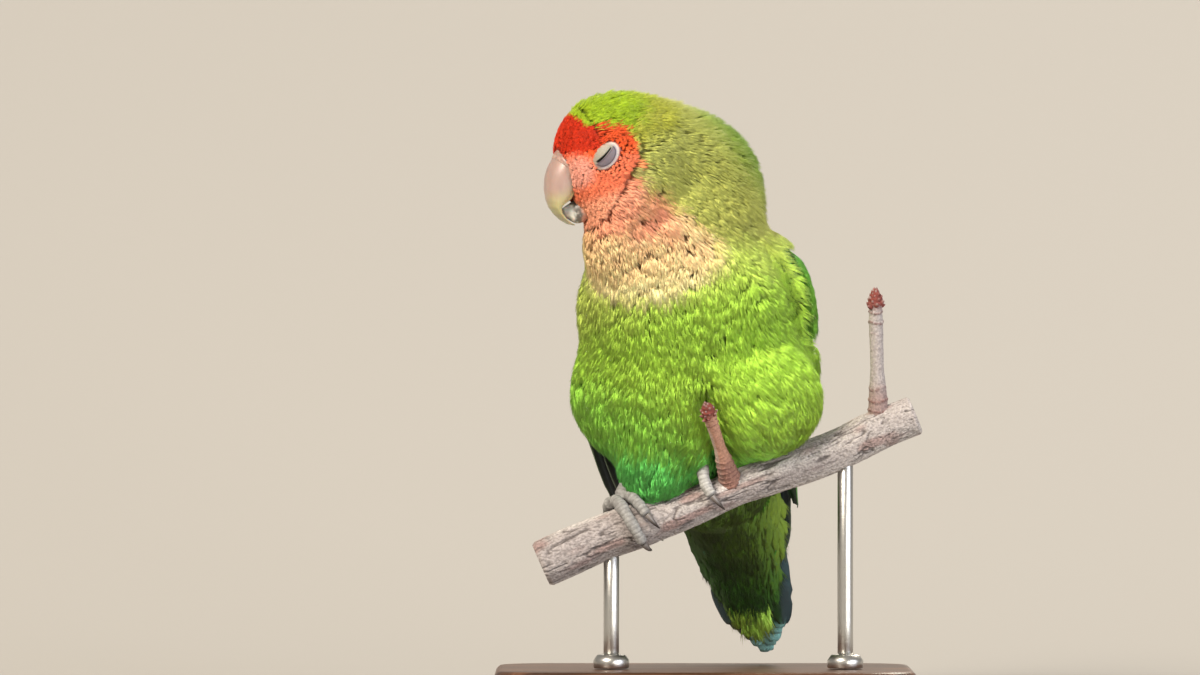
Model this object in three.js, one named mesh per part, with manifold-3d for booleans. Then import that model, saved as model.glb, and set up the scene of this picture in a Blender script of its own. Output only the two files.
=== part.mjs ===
// A peach-faced lovebird asleep on its feet, life size, on a cut length of branch held by a small stand.
// Millimetres, +Z up. The origin is the middle of the stand's underside.
// The bird is seen from -Y, with its bill to the left, towards -X.
import * as THREE from "three";
import { mergeVertices } from "three/addons/utils/BufferGeometryUtils.js";
import Module from "manifold-3d";

const wasm = await Module();
wasm.setup();

// Driving sizes
const GAP = 0.3; // left between neighbouring pieces
const BODY_AT = [-1.5, -5, 46]; // the body's own origin: between the thighs, level with the perch
const BODY_ROLL = -2; // degrees, lean towards the bird's right
const BODY_YAW = -22; // degrees, turn away from -Y
const HEAD_AT = [-20.5, -13.5, 138]; // middle of the skull
const HEAD_YAW = -76;
const HEAD_PITCH = 22; // degrees, bill down
const BLEND = 2.5; // how softly the body's forms run together
const BODY_ROWS = 38; // rings of the body's surface, tail end to crown
const BODY_SIDES = 34;
const LONGEST_RAY = 75;
const HEAD_CUT = { at: [-8, 0, 121], tilt: -11 }; // parting between head and neck
const SMALLEST_BLOCK = 500; // cubic millimetres, of the scraps that the cuts leave
const NECK_CUT = { at: [-4, 0, 111.5], tilt: -4 }; // parting between neck and torso

// The body's forms: ellipsoids in the body's or the head's own frame, x to the bird's left, -y forward, z up
const FORMS = [
  { part: "body", centre: [-2, -1, 33], radii: [26.5, 22, 24], pitch: 0 }, // belly
  { part: "body", centre: [21, -4, 30], radii: [14.5, 15, 14.5], pitch: 0 }, // left flank
  { part: "body", centre: [-18.5, 0, 32.5], radii: [13, 18.5, 15], pitch: 0 }, // right flank
  { part: "body", centre: [-1, -3, 54], radii: [28, 22, 22], pitch: 0 }, // breast
  { part: "body", centre: [0, 7, 49], radii: [25, 17, 29], pitch: 8 }, // back
  { part: "body", centre: [-1.5, 18.5, 14], radii: [16.5, 9.5, 26], pitch: 18 }, // rump
  { part: "body", centre: [1, 8, 11], radii: [14, 13, 15], pitch: 0 }, // vent
  { part: "body", centre: [14.5, -3, 27], radii: [10.5, 11, 9], pitch: 0 }, // left thigh
  { part: "body", centre: [-7.4, -8.8, 12.6], radii: [9.4, 11, 10.3], pitch: 0 }, // lower belly
  { part: "body", centre: [-2, -2, 73], radii: [20, 18, 15], pitch: 0 }, // neck
  { part: "body", centre: [-12, -15.5, 70], radii: [10, 10.5, 9], pitch: 0 }, // throat
  { part: "body", centre: [0, 4, 84], radii: [16.5, 15, 17], pitch: 0 }, // nape
  { part: "body", centre: [-4, -1.5, 91.5], radii: [13.5, 13.5, 12.5], pitch: 0 }, // back of the crown
  { part: "head", centre: [0, 0, 0], radii: [14.3, 16, 15.8], pitch: 0 }, // skull
  { part: "head", centre: [0, -3.4, 3], radii: [12, 13.2, 13.4], pitch: 0 }, // crown
  { part: "head", centre: [5.5, -4.6, -10], radii: [8.5, 8, 8], pitch: 0 }, // left cheek
  { part: "head", centre: [-5.5, -4.6, -10], radii: [8.5, 8, 8], pitch: 0 }, // right cheek
];
// The space the tail fills, which the wing tips lie over
const TAIL_FORMS = [
  { part: "body", centre: [1, 27, -1], radii: [11.5, 6.5, 18], pitch: 22 },
  { part: "body", centre: [1.5, 34.5, -19], radii: [8, 4.2, 20], pitch: 22 },
];
// The feathers part round the twig in front of the belly: a groove along it, this deep and this wide
const PARTING = { from: [6.6, 55], to: [0.1, 76], deep: 5, wide: 3.4, front: -12 };
// The line that the body's surface is measured out from, world frame, tail end to crown
const SPINE = [
  [3.5, 2, 60],
  [-0.5, -3, 80],
  [-1.5, -4, 100],
  [-5, -6, 118],
  [-10, -10, 130],
  [-19, -13, 137],
];

// Small helpers
const radians = THREE.MathUtils.degToRad;
const lerp = THREE.MathUtils.lerp;
const point = (p) => new THREE.Vector3(...p);
const mix = (a, b, t) => a.clone().lerp(b, t);

function frameAt(at, { roll = 0, yaw = 0, pitch = 0 }) {
  return new THREE.Matrix4()
    .makeTranslation(...at)
    .multiply(new THREE.Matrix4().makeRotationY(radians(roll)))
    .multiply(new THREE.Matrix4().makeRotationZ(radians(yaw)))
    .multiply(new THREE.Matrix4().makeRotationX(radians(pitch)));
}

const FRAMES = {
  body: frameAt(BODY_AT, { roll: BODY_ROLL, yaw: BODY_YAW }),
  head: frameAt(HEAD_AT, { yaw: HEAD_YAW, pitch: HEAD_PITCH }),
};
const inBody = (p) => point(p).applyMatrix4(FRAMES.body);
const inHead = (p) => point(p).applyMatrix4(FRAMES.head);

// Closed solids

// A three.js geometry as a solid, its faces turned outwards
function solidOf(geometry) {
  const bare = geometry.index ? geometry.toNonIndexed() : geometry.clone();
  for (const name of Object.keys(bare.attributes)) {
    if (name !== "position") bare.deleteAttribute(name);
  }
  const merged = mergeVertices(bare, 1e-4);
  const found = merged.index.array;
  const kept = [];
  for (let i = 0; i < found.length; i += 3) {
    const [a, b, c] = [found[i], found[i + 1], found[i + 2]];
    if (a !== b && b !== c && c !== a) kept.push(a, b, c);
  }
  const make = (triangles) =>
    new wasm.Manifold(
      new wasm.Mesh({
        numProp: 3,
        vertProperties: merged.attributes.position.array,
        triVerts: new Uint32Array(triangles),
      }),
    );
  const solid = make(kept);
  return solid.volume() > 0 ? solid : make(kept.reverse());
}

// Rings of points joined one to the next, with a fan over each end
function loft(rings) {
  const around = rings[0].length;
  const positions = rings.flat().flatMap((p) => [p.x, p.y, p.z]);
  const index = [];
  for (let i = 0; i + 1 < rings.length; i++) {
    for (let j = 0; j < around; j++) {
      const [a, b] = [i * around + j, i * around + ((j + 1) % around)];
      index.push(a, b, b + around, a, b + around, a + around);
    }
  }
  for (const [ring, start] of [[rings[0], 0], [rings.at(-1), (rings.length - 1) * around]]) {
    const centre = ring.reduce((sum, p) => sum.add(p), new THREE.Vector3()).divideScalar(around);
    const middle = positions.length / 3;
    positions.push(centre.x, centre.y, centre.z);
    for (let j = 0; j < around; j++) {
      const [a, b] = [start + j, start + ((j + 1) % around)];
      index.push(...(start ? [middle, a, b] : [middle, b, a]));
    }
  }
  return geometryOf(positions, index);
}

// Two like grids of points, split into the same triangles, with a wall all round
function slab(lower, upper) {
  const [rows, columns] = [lower.length, lower[0].length];
  const positions = [...lower.flat(), ...upper.flat()].flatMap((p) => [p.x, p.y, p.z]);
  const top = rows * columns;
  const at = (i, j) => i * columns + j;
  const index = [];
  for (let i = 0; i + 1 < rows; i++) {
    for (let j = 0; j + 1 < columns; j++) {
      const [a, b, c, d] = [at(i, j), at(i, j + 1), at(i + 1, j), at(i + 1, j + 1)];
      index.push(a, d, b, a, c, d, top + a, top + b, top + d, top + a, top + d, top + c);
    }
  }
  const rim = [];
  for (let j = 0; j + 1 < columns; j++) rim.push(at(0, j));
  for (let i = 0; i + 1 < rows; i++) rim.push(at(i, columns - 1));
  for (let j = columns - 1; j > 0; j--) rim.push(at(rows - 1, j));
  for (let i = rows - 1; i > 0; i--) rim.push(at(i, 0));
  rim.forEach((a, k) => {
    const b = rim[(k + 1) % rim.length];
    index.push(a, b, top + b, a, top + b, top + a);
  });
  return geometryOf(positions, index);
}

function geometryOf(positions, index) {
  const geometry = new THREE.BufferGeometry();
  geometry.setAttribute("position", new THREE.Float32BufferAttribute(positions, 3));
  geometry.setIndex(index);
  return geometry;
}

const joined = (solids) => solids.reduce((sum, s) => sum.add(s));
const without = (solid, ...others) => others.reduce((left, s) => left.subtract(s), solid);
const largest = (solid) => solid.decompose().sort((a, b) => b.volume() - a.volume())[0];

// The body's surface

function measured(forms) {
  return forms.map(({ part, centre, radii, pitch }) => {
    const own = FRAMES[part].clone().multiply(frameAt(centre, { pitch }));
    return { inverse: own.invert(), radii: point(radii) };
  });
}
const BODY_FORMS = measured(FORMS);
const DRAPE_FORMS = [...BODY_FORMS, ...measured(TAIL_FORMS)];

// Distance from p to the softly joined ellipsoids, below zero inside
function distance(p, forms) {
  const q = new THREE.Vector3();
  let total = 0;
  for (const { inverse, radii } of forms) {
    q.copy(p).applyMatrix4(inverse).divide(radii);
    const near = q.length();
    const slope = q.divide(radii).length() + 1e-9;
    total += Math.exp(-Math.min((near * (near - 1)) / slope, 150) / BLEND);
  }
  return -BLEND * Math.log(total) + partingAt(p);
}

// Depth of the groove round the twig, measured across it as seen from the front
function partingAt(p) {
  const { from, to, deep, wide, front } = PARTING;
  if (p.y > front) return 0;
  const [dx, dz] = [to[0] - from[0], to[1] - from[1]];
  const t = THREE.MathUtils.clamp(((p.x - from[0]) * dx + (p.z - from[1]) * dz) / (dx * dx + dz * dz), 0, 1);
  const off = Math.hypot(p.x - from[0] - t * dx, p.z - from[1] - t * dz) / wide;
  return deep * Math.exp(-off * off) * Math.min((front - p.y) / 5, 1);
}

function outward(p, forms) {
  const step = 0.05;
  const along = ["x", "y", "z"].map((axis) => {
    const [ahead, behind] = [p.clone(), p.clone()];
    ahead[axis] += step;
    behind[axis] -= step;
    return distance(ahead, forms) - distance(behind, forms);
  });
  return point(along).normalize();
}

// Moves p straight out or in until it is the given height above the forms
function settle(p, height, forms = DRAPE_FORMS) {
  const found = p.clone();
  for (let pass = 0; pass < 5; pass++) {
    const off = distance(found, forms) - height;
    found.addScaledVector(outward(found, forms), -off);
  }
  return found;
}

function bodySolid(height) {
  const spine = new THREE.CatmullRomCurve3(SPINE.map(point));
  const rings = [];
  for (let i = 0; i <= BODY_ROWS; i++) {
    const t = i / BODY_ROWS;
    const lift = 2 * t - 1;
    const climb = (Math.PI / 2) * Math.sign(lift) * Math.abs(lift) ** 1.6;
    const from = spine.getPoint(THREE.MathUtils.clamp((t - 0.12) / 0.76, 0, 1));
    const ring = [];
    for (let j = 0; j < BODY_SIDES; j++) {
      const turn = (2 * Math.PI * j) / BODY_SIDES;
      const ray = new THREE.Vector3(
        Math.cos(climb) * Math.cos(turn),
        Math.cos(climb) * Math.sin(turn),
        Math.sin(climb),
      );
      ring.push(castOut(from, ray, height));
    }
    rings.push(ring);
  }
  return solidOf(loft(rings));
}

// Where the ray first leaves the body
function castOut(from, ray, height) {
  const reach = (r) => from.clone().addScaledVector(ray, r);
  let [low, high] = [0, 1.5];
  while (high < LONGEST_RAY && distance(reach(high), BODY_FORMS) < height) {
    low = high;
    high += 1.5;
  }
  for (let pass = 0; pass < 20; pass++) {
    const middle = (low + high) / 2;
    if (distance(reach(middle), BODY_FORMS) < height) low = middle;
    else high = middle;
  }
  return reach(low);
}

// A thin plate that parts two pieces of the body
function partingPlate({ at, tilt }) {
  const plate = new THREE.BoxGeometry(160, 160, GAP);
  plate.applyMatrix4(frameAt(at, { roll: tilt }));
  return solidOf(plate);
}

// Bill: profiles in the head's frame, as [forward, up]
const BILL = {
  ridge: [
    [11.5, 9.4],
    [15.4, 8.4],
    [18.6, 6.4],
    [21, 3.9],
    [22.6, 0.6],
    [23.2, -2.6],
    [22.9, -5.2],
    [21.9, -7.8],
    [20.4, -9.9],
    [18.8, -11],
  ],
  edge: [
    [9.5, -1.5],
    [12, -1.8],
    [14, -2.2],
    [15.6, -3.3],
    [17.4, -4.4],
    [19.2, -4.8],
    [20.6, -5.4],
    [20.9, -6.9],
    [20, -9.3],
    [18.7, -10.8],
  ],
  halfWidth: 5.6,
  flatness: 0.55, // below 1 the underside is flatter than the ridge
  steps: 13,
  sides: 12,
};
const LOWER_BILL = {
  rim: [
    [9.5, -3.4],
    [13, -3.9],
    [16.5, -4.9],
    [20.2, -5.7],
  ],
  keel: [
    [9.5, -9.3],
    [13.5, -10.6],
    [17.8, -10.8],
    [20.6, -7.8],
  ],
  halfWidth: 4,
  flatness: 1,
  steps: 5,
  sides: 9,
};
const HORN_POINT = 0.004; // least share of the width left at the tip

function profile(points) {
  const flat = points.map(([forward, up]) => point([forward, up, 0]));
  return new THREE.CatmullRomCurve3(flat, false, "catmullrom", 0.5);
}

// A horn-shaped shell between two profiles in the sagittal plane, wide at the root and narrow at the tip
function hornSolid(shape, outer, inner, grow = 0, from = 0, to = 1) {
  const [ridge, edge] = [profile(outer), profile(inner)];
  const rings = [];
  for (let i = 0; i <= shape.steps; i++) {
    const t = lerp(from, to, i / shape.steps);
    const [a, b] = [ridge.getPoint(t), edge.getPoint(t)];
    const middle = a.clone().add(b).divideScalar(2);
    const half = a.clone().sub(b).divideScalar(2);
    const tall = half.length() + grow;
    half.normalize();
    const wide = shape.halfWidth * Math.sqrt(Math.max(1 - t ** 1.7, HORN_POINT)) + grow;
    const ring = [];
    for (let j = 0; j < shape.sides; j++) {
      const turn = (2 * Math.PI * j) / shape.sides;
      const rise = Math.cos(turn);
      const lift = tall * Math.sign(rise) * Math.abs(rise) ** (rise < 0 ? shape.flatness : 1);
      ring.push(inHead([wide * Math.sin(turn), -(middle.x + half.x * lift), middle.y + half.y * lift]));
    }
    rings.push(ring);
  }
  return solidOf(loft(rings));
}

// Cere: the low fleshy band round the root of the upper bill, with the two nostrils
const CERE = { from: 0.08, to: 0.19, thick: 0.55, steps: 2, nostril: 0.75, nostrilAt: [2.3, -15.6, 7.9] };

function cereSolid(grow = 0) {
  const band = { ...BILL, steps: CERE.steps };
  return hornSolid(band, BILL.ridge, BILL.edge, CERE.thick + grow, CERE.from, CERE.to);
}

function nostrilSolid(side) {
  const [x, y, z] = CERE.nostrilAt;
  return ballSolid(inHead([side * x, y, z]), CERE.nostril, 6);
}

// Eyes, shut: a ball behind a shell of lid that a slit parts into its upper and lower lid
const EYE = {
  back: -7.2,
  up: 3.3,
  ball: 4,
  lid: 4.8,
  proud: 0.8,
  rim: 1.2,
  sides: 14,
  socketSides: 12,
  ballSides: 10,
};
const SKULL_SIDE = 12; // out from the middle of the skull, about where its surface is
const SLIT = { long: 5.6, wide: 0.5, rise: 22 }; // its back end is the higher one, by this angle

function ballSolid(centre, radius, sides = EYE.sides) {
  const ball = new THREE.SphereGeometry(radius, sides, sides * 0.75);
  ball.translate(centre.x, centre.y, centre.z);
  return solidOf(ball);
}

// Where an eye looks out of the head: z outwards, x along the line between its lids
function eyeFrame(side) {
  const surface = settle(inHead([side * SKULL_SIDE, EYE.back, EYE.up]), 0, BODY_FORMS);
  const out = outward(surface, BODY_FORMS);
  const tail = new THREE.Vector3(0, Math.cos(radians(SLIT.rise)), Math.sin(radians(SLIT.rise)));
  const across = out.clone().cross(tail.transformDirection(FRAMES.head)).normalize();
  const along = across.clone().cross(out).normalize();
  const centre = surface.clone().addScaledVector(out, EYE.proud - EYE.lid);
  return new THREE.Matrix4().makeBasis(along, across, out).setPosition(centre);
}

const eyeCentre = (frame) => new THREE.Vector3().setFromMatrixPosition(frame);

function lidSolid(frame) {
  const centre = eyeCentre(frame);
  const shell = without(ballSolid(centre, EYE.lid), ballSolid(centre, EYE.ball + GAP));
  const block = EYE.lid * 4;
  const behind = new THREE.BoxGeometry(block, block, block);
  behind.translate(0, 0, EYE.lid - EYE.proud - EYE.rim - block / 2);
  const slit = new THREE.BoxGeometry(SLIT.long, SLIT.wide, EYE.lid * 2);
  slit.translate(0, 0, EYE.lid);
  return largest(without(shell, solidOf(behind.applyMatrix4(frame)), solidOf(slit.applyMatrix4(frame))));
}

// Wings: tiers of vanes, each from its outer feather to its inner one, left wing, body frame
const PAD = {
  at: [23, 15, 50],
  down: [-2, 5, -22],
  across: [-8, 8.5, 4],
  low: 0.8,
  rim: 1.4,
  high: 3.4,
  rings: 3,
  sides: 14,
};
const VANE = { thick: 0.5, shaft: 0.2, root: 0.55, blunt: 0.72, columns: [-1, 0, 1] };
const WING_TIERS = [
  {
    // flight feathers; those of the right wing hang a little, clear of the body
    count: 6,
    height: 1.6,
    width: 6.5,
    slope: 0.22,
    steps: 5,
    roots: [[18, 21.5, 31], [12, 28, 14]],
    tips: [[-1, 41.5, -28], [6, 36, -9]],
    hanging: { roots: [[33, 2, 32], [12, 28, 14]], tips: [[26, 13, -1], [10, 33, 2]] },
  },
  {
    // inner flight feathers
    count: 6,
    height: 2.3,
    width: 8,
    slope: 0.22,
    steps: 4,
    roots: [[25, 16, 34], [11, 25, 38]],
    tips: [[14, 29, 2], [4, 32, 9]],
  },
  {
    // greater coverts
    count: 5,
    height: 3,
    width: 9,
    slope: 0.2,
    steps: 3,
    roots: [[27, 11, 43], [12, 25, 49]],
    tips: [[24, 20, 24], [7, 30, 31]],
  },
  {
    // middle coverts
    count: 5,
    height: 3.6,
    width: 8.5,
    slope: 0.2,
    steps: 3,
    roots: [[28, 9, 54], [13, 22, 59]],
    tips: [[27, 14, 39], [11, 27, 45]],
  },
  {
    // lesser coverts
    count: 5,
    height: 4.1,
    width: 7.5,
    slope: 0.2,
    steps: 2,
    roots: [[27, 7, 64], [15, 18, 69]],
    tips: [[28, 10, 51], [14, 23, 56]],
  },
];

function vaneWidth(t) {
  if (t < VANE.blunt) return lerp(VANE.root, 1, Math.sqrt(t / VANE.blunt));
  return Math.sqrt(Math.max(1 - ((t - VANE.blunt) / (1.02 - VANE.blunt)) ** 2, 0.03));
}

// A feather laid over the forms from root to tip, tilted so that its neighbour's edge passes under it
function drapedVane(root, tip, { height, width, slope, steps, hangs }) {
  const heights = [];
  const middles = [];
  for (let i = 0; i <= steps; i++) {
    const straight = mix(root, tip, i / steps);
    const level = distance(straight, DRAPE_FORMS);
    const free = hangs && level > height;
    middles.push(free ? straight : settle(straight, height));
    heights.push(free ? level : height);
  }
  const [lower, upper] = [[], []];
  middles.forEach((middle, i) => {
    const [before, after] = [middles[Math.max(i - 1, 0)], middles[Math.min(i + 1, steps)]];
    const along = after.clone().sub(before).normalize();
    const side = along.clone().cross(outward(middle, DRAPE_FORMS)).normalize();
    const half = (width * vaneWidth(i / steps)) / 2;
    const [below, above] = [[], []];
    for (const across of VANE.columns) {
      const offset = across * half;
      const edge = middle.clone().addScaledVector(side, offset);
      const under = settle(edge, heights[i] + slope * offset);
      const up = outward(under, DRAPE_FORMS);
      below.push(under);
      above.push(under.clone().addScaledVector(up, VANE.thick + (across ? 0 : VANE.shaft)));
    }
    lower.push(below);
    upper.push(above);
  });
  return solidOf(slab(lower, upper));
}

const sided = ([x, y, z], side) => inBody([x * side, y, z]);

function padSolid(side) {
  const { at, down, across, low, rim, high, rings, sides } = PAD;
  const centre = sided(at, side);
  const [d, a] = [down, across].map((v) => sided(v, side).sub(sided([0, 0, 0], side)));
  const ringAt = (share, height) => {
    const ring = [];
    for (let j = 0; j < sides; j++) {
      const turn = (2 * Math.PI * j) / sides;
      const lowered = centre.clone().addScaledVector(d, share * Math.cos(turn));
      ring.push(settle(lowered.addScaledVector(a, share * Math.sin(turn)), height));
    }
    return ring;
  };
  const heightAt = (share) => lerp(high, rim, share ** 3);
  const stack = [];
  for (let i = 0; i <= rings; i++) stack.push(ringAt(i / rings, low));
  for (let i = rings; i >= 0; i--) stack.push(ringAt(i / rings, heightAt(i / rings)));
  return solidOf(loft(stack));
}

function wingSolid(side) {
  const pieces = [padSolid(side)];
  for (const { count, slope, hanging, ...tier } of WING_TIERS) {
    const hangs = Boolean(hanging) && side < 0;
    const { roots, tips } = hangs ? hanging : tier;
    for (let i = 0; i < count; i++) {
      const t = i / (count - 1);
      const root = mix(sided(roots[0], side), sided(roots[1], side), t);
      const tip = mix(sided(tips[0], side), sided(tips[1], side), t);
      pieces.push(drapedVane(root, tip, { ...tier, slope: slope * side, hangs }));
    }
  }
  return largest(joined(pieces));
}

// Tail, in its own frame: x to the bird's left, -y to its underside, -z to the tip
const TAIL = {
  at: [1.3, 24, 4],
  pitch: 22,
  count: 12,
  length: 45,
  width: 7,
  root: 1.7,
  fan: -0.6,
  middle: 2,
  layer: 0.62,
  stagger: 1.9,
  slope: 0.12,
};
const TAIL_COVERTS = [
  { count: 5, level: -3.6, length: 30, width: 9, spread: 3.6, fan: 2.5, start: 3 },
  { count: 5, level: -4.8, length: 20, width: 9, spread: 4, fan: 3, start: 4 },
  { count: 5, level: 1.6, length: 26, width: 8.5, spread: 3, fan: 1.5, start: 2 },
];
const TAIL_COVERT = { rise: 0.1, stagger: 3 }; // how much nearer and shorter each is than the one inside it
const TAIL_ROOT = { radii: [10, 5.2, 11], at: [0, -1.5, 2], sides: 12, rings: 8 };

// A nearly flat feather: starts at [x, y] on the tail's frame and runs down at an angle
function flatVane(frame, { x, level, length, width, angle, slope, start = 0, steps = 3 }) {
  const [lower, upper] = [[], []];
  for (let i = 0; i <= steps; i++) {
    const t = i / steps;
    const down = -lerp(-start, length, t);
    const half = (width * vaneWidth(t)) / 2;
    const [below, above] = [[], []];
    for (const across of VANE.columns) {
      const wide = x + Math.sin(radians(angle)) * length * t + across * half;
      const deep = level + slope * across * half;
      const up = VANE.thick + (across ? 0 : VANE.shaft);
      below.push(new THREE.Vector3(wide, deep - up / 2, down).applyMatrix4(frame));
      above.push(new THREE.Vector3(wide, deep + up / 2, down).applyMatrix4(frame));
    }
    lower.push(below);
    upper.push(above);
  }
  return solidOf(slab(lower, upper));
}

function tailSolid() {
  const frame = FRAMES.body.clone().multiply(frameAt(TAIL.at, { pitch: TAIL.pitch }));
  const pieces = [];
  for (let i = 0; i < TAIL.count; i++) {
    const k = i - (TAIL.count - 1) / 2;
    const side = Math.sign(k);
    pieces.push(
      flatVane(frame, {
        x: k * TAIL.root,
        level: (TAIL.middle - Math.abs(k)) * TAIL.layer,
        length: TAIL.length - Math.abs(k) * TAIL.stagger,
        width: TAIL.width,
        angle: k * TAIL.fan,
        slope: side * TAIL.slope,
      }),
    );
  }
  for (const { count, level, length, width, spread, fan, start } of TAIL_COVERTS) {
    for (let i = 0; i < count; i++) {
      const k = i - (count - 1) / 2;
      const edge = Math.abs(k);
      pieces.push(
        flatVane(frame, {
          x: k * spread,
          level: level * (1 - TAIL_COVERT.rise * edge),
          length: length - TAIL_COVERT.stagger * edge,
          width,
          angle: -k * fan,
          slope: Math.sign(k) * Math.sign(level) * -TAIL.slope,
          start,
        }),
      );
    }
  }
  const root = new THREE.SphereGeometry(1, TAIL_ROOT.sides, TAIL_ROOT.rings);
  root.scale(...TAIL_ROOT.radii);
  root.translate(...TAIL_ROOT.at);
  root.applyMatrix4(frame);
  pieces.push(solidOf(root));
  return largest(joined(pieces));
}

// Perch: a bent tube with two twig stubs
const PERCH = {
  line: [
    [-42, -13, 33.8],
    [-27, -13, 40.4],
    [-14, -13, 44.9],
    [-3, -13, 48.9],
    [9, -13, 53.9],
    [22, -13, 58.7],
    [34.6, -13, 63.6],
    [44, -13, 68.2],
    [54, -13, 72.3],
  ],
  radii: [6, 6, 5.7, 4.9, 4.4, 4.9, 5.3, 5.3, 5], // at these places along X
  places: [-42, -27, -16, -4, 9, 16, 30, 44, 54],
  swell: 0.12,
  steps: 18,
  sides: 14,
};
const STUBS = [
  { from: [6.6, -15, 55.2], to: [0.1, -33.5, 75], root: 2.5, neck: 1.5, bud: 2.1 },
  { from: [44.6, -13.5, 68], to: [43.5, -17, 104], root: 2.8, neck: 1.75, bud: 2.2 },
];
const STUB_SIDES = 8;
// Widths of a stub along its length, as shares of its root, its neck or its bud
const STUB_SECTIONS = [
  { t: 0, of: "root", share: 1 },
  { t: 0.18, of: "root", share: 0.95 },
  { t: 0.3, of: "root", share: 0.78 },
  { t: 0.45, of: "neck", share: 1 },
  { t: 0.62, of: "neck", share: 1.02 },
  { t: 0.78, of: "neck", share: 1.05 },
  { t: 0.86, of: "bud", share: 0.85 },
  { t: 0.94, of: "bud", share: 1 },
  { t: 1, of: "bud", share: 0.55 },
];

const perchLine = new THREE.CatmullRomCurve3(PERCH.line.map(point));
const FRONT = new THREE.Vector3(0, -1, 0);

const NEARLY_FRONT = 0.9;

function tube(centres, radii, sides, grow = 0) {
  const last = centres.length - 1;
  return centres.map((centre, i) => {
    const [before, after] = [centres[Math.max(i - 1, 0)], centres[Math.min(i + 1, last)]];
    const along = after.clone().sub(before).normalize();
    const side = Math.abs(along.dot(FRONT)) > NEARLY_FRONT ? new THREE.Vector3(1, 0, 0) : FRONT;
    const up = side.clone().cross(along).normalize();
    const front = along.clone().cross(up).normalize();
    const r = radii[i] + grow;
    const ring = [];
    for (let j = 0; j < sides; j++) {
      const turn = (2 * Math.PI * j) / sides;
      const raised = centre.clone().addScaledVector(up, r * Math.cos(turn));
      ring.push(raised.addScaledVector(front, r * Math.sin(turn)));
    }
    return ring;
  });
}

function perchRadius(x) {
  const { places, radii, swell } = PERCH;
  const found = places.findIndex((place) => place >= x);
  const next = found < 0 ? places.length - 1 : Math.max(found, 1);
  const share = THREE.MathUtils.clamp((x - places[next - 1]) / (places[next] - places[next - 1]), 0, 1);
  const t = (x - places[0]) / (places.at(-1) - places[0]);
  return lerp(radii[next - 1], radii[next], share) + swell * Math.sin(11 * t) * Math.sin(29 * t);
}

function branchSolid(grow = 0) {
  const centres = [];
  for (let i = 0; i <= PERCH.steps; i++) centres.push(perchLine.getPointAt(i / PERCH.steps));
  const radii = centres.map((centre) => perchRadius(centre.x));
  return solidOf(loft(tube(centres, radii, PERCH.sides, grow)));
}

function stubSolid({ from, to, ...widths }, grow = 0) {
  const centres = STUB_SECTIONS.map(({ t }) => mix(point(from), point(to), t));
  const radii = STUB_SECTIONS.map(({ of, share }) => widths[of] * share);
  return solidOf(loft(tube(centres, radii, STUB_SIDES, grow)));
}

function perchSolid(grow = 0) {
  return largest(joined([branchSolid(grow), ...STUBS.map((stub) => stubSolid(stub, grow))]));
}

// Legs and feet: four toes each, two over the front of the perch and two over its back
const LEG = { radius: 1.7, foot: 1.2, rise: 14, lean: [4.5, 5], sides: 8 };
const LEG_SECTIONS = [
  { t: 0, share: 1.2 },
  { t: 0.12, share: 1.45 },
  { t: 0.35, share: 1.1 },
  { t: 0.6, share: 1.05 },
  { t: 0.85, share: 1.2 },
  { t: 1, share: 1.3 },
];
// The left foot's front toes are drawn up, one of them slanting under the belly's feathers
const FEET = [
  { side: "right", x: -18.9, turn: 1, changed: {} },
  {
    side: "left",
    x: 0.4,
    turn: -1,
    changed: {
      2: { slot: 0.1, splay: 1.5, reach: 20, claw: 10 },
      3: { slot: -3.65, splay: 2, reach: 84, aside: 2.8, bow: -1.15, raise: 3 },
    },
  },
];
const POCKET = { half: 8, deep: 4.6, sides: 14 }; // room round the perch for each foot's toes
const TOES = [
  { digit: 1, way: -1, slot: -2.6, splay: -2.5, reach: 78, radius: 1.5, claw: 30, aside: 0.6 },
  { digit: 2, way: 1, slot: 1.75, splay: 2.9, reach: 74, radius: 1.55, claw: 30, aside: 0.6 },
  { digit: 3, way: 1, slot: -1.75, splay: 3.4, reach: 124, radius: 1.6, claw: 30, aside: 0.6 },
  { digit: 4, way: -1, slot: 2.4, splay: 2.6, reach: 108, radius: 1.6, claw: 30, aside: 0.6 },
];
const TOE = {
  start: 4,
  lift: 0.35,
  over: 1.14,
  root: 1.05,
  tip: 0.86,
  end: 0.72,
  pads: 3,
  pad: 0.07,
  steps: 8,
  sides: 8,
};
const CLAW = { start: 4.2, over: 1.25, under: 0.75, root: 0.95, tip: 0.2, steps: 5, sides: 5 };

// The perch's own axes at a place x along it
function perchFrame(x) {
  let [low, high] = [0, 1];
  for (let pass = 0; pass < 30; pass++) {
    const middle = (low + high) / 2;
    if (perchLine.getPointAt(middle).x < x) low = middle;
    else high = middle;
  }
  const along = perchLine.getTangentAt(low);
  const up = FRONT.clone().cross(along).normalize();
  return { centre: perchLine.getPointAt(low), along, up, radius: perchRadius(x) };
}

// A place on the perch: degrees from its top towards the front or the back, and a height off its surface.
// A toe may bow sideways in its middle, and its root may be raised.
function overPerch(foot, { slot, splay, way, reach, bow = 0, raise = 0 }, degrees, height) {
  const share = degrees / reach;
  const shift = (slot + splay * share) * foot.turn + bow * Math.sin(Math.PI * Math.min(share, 1));
  const { centre, up, radius } = perchFrame(foot.x + shift);
  const far = radius + height + raise * (1 - THREE.MathUtils.smoothstep(share, 0, 0.8));
  const turn = radians(degrees);
  return centre.addScaledVector(up, far * Math.cos(turn)).addScaledVector(FRONT, way * far * Math.sin(turn));
}

const toesOf = (foot) => TOES.map((toe) => ({ ...toe, ...foot.changed[toe.digit] }));

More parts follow.
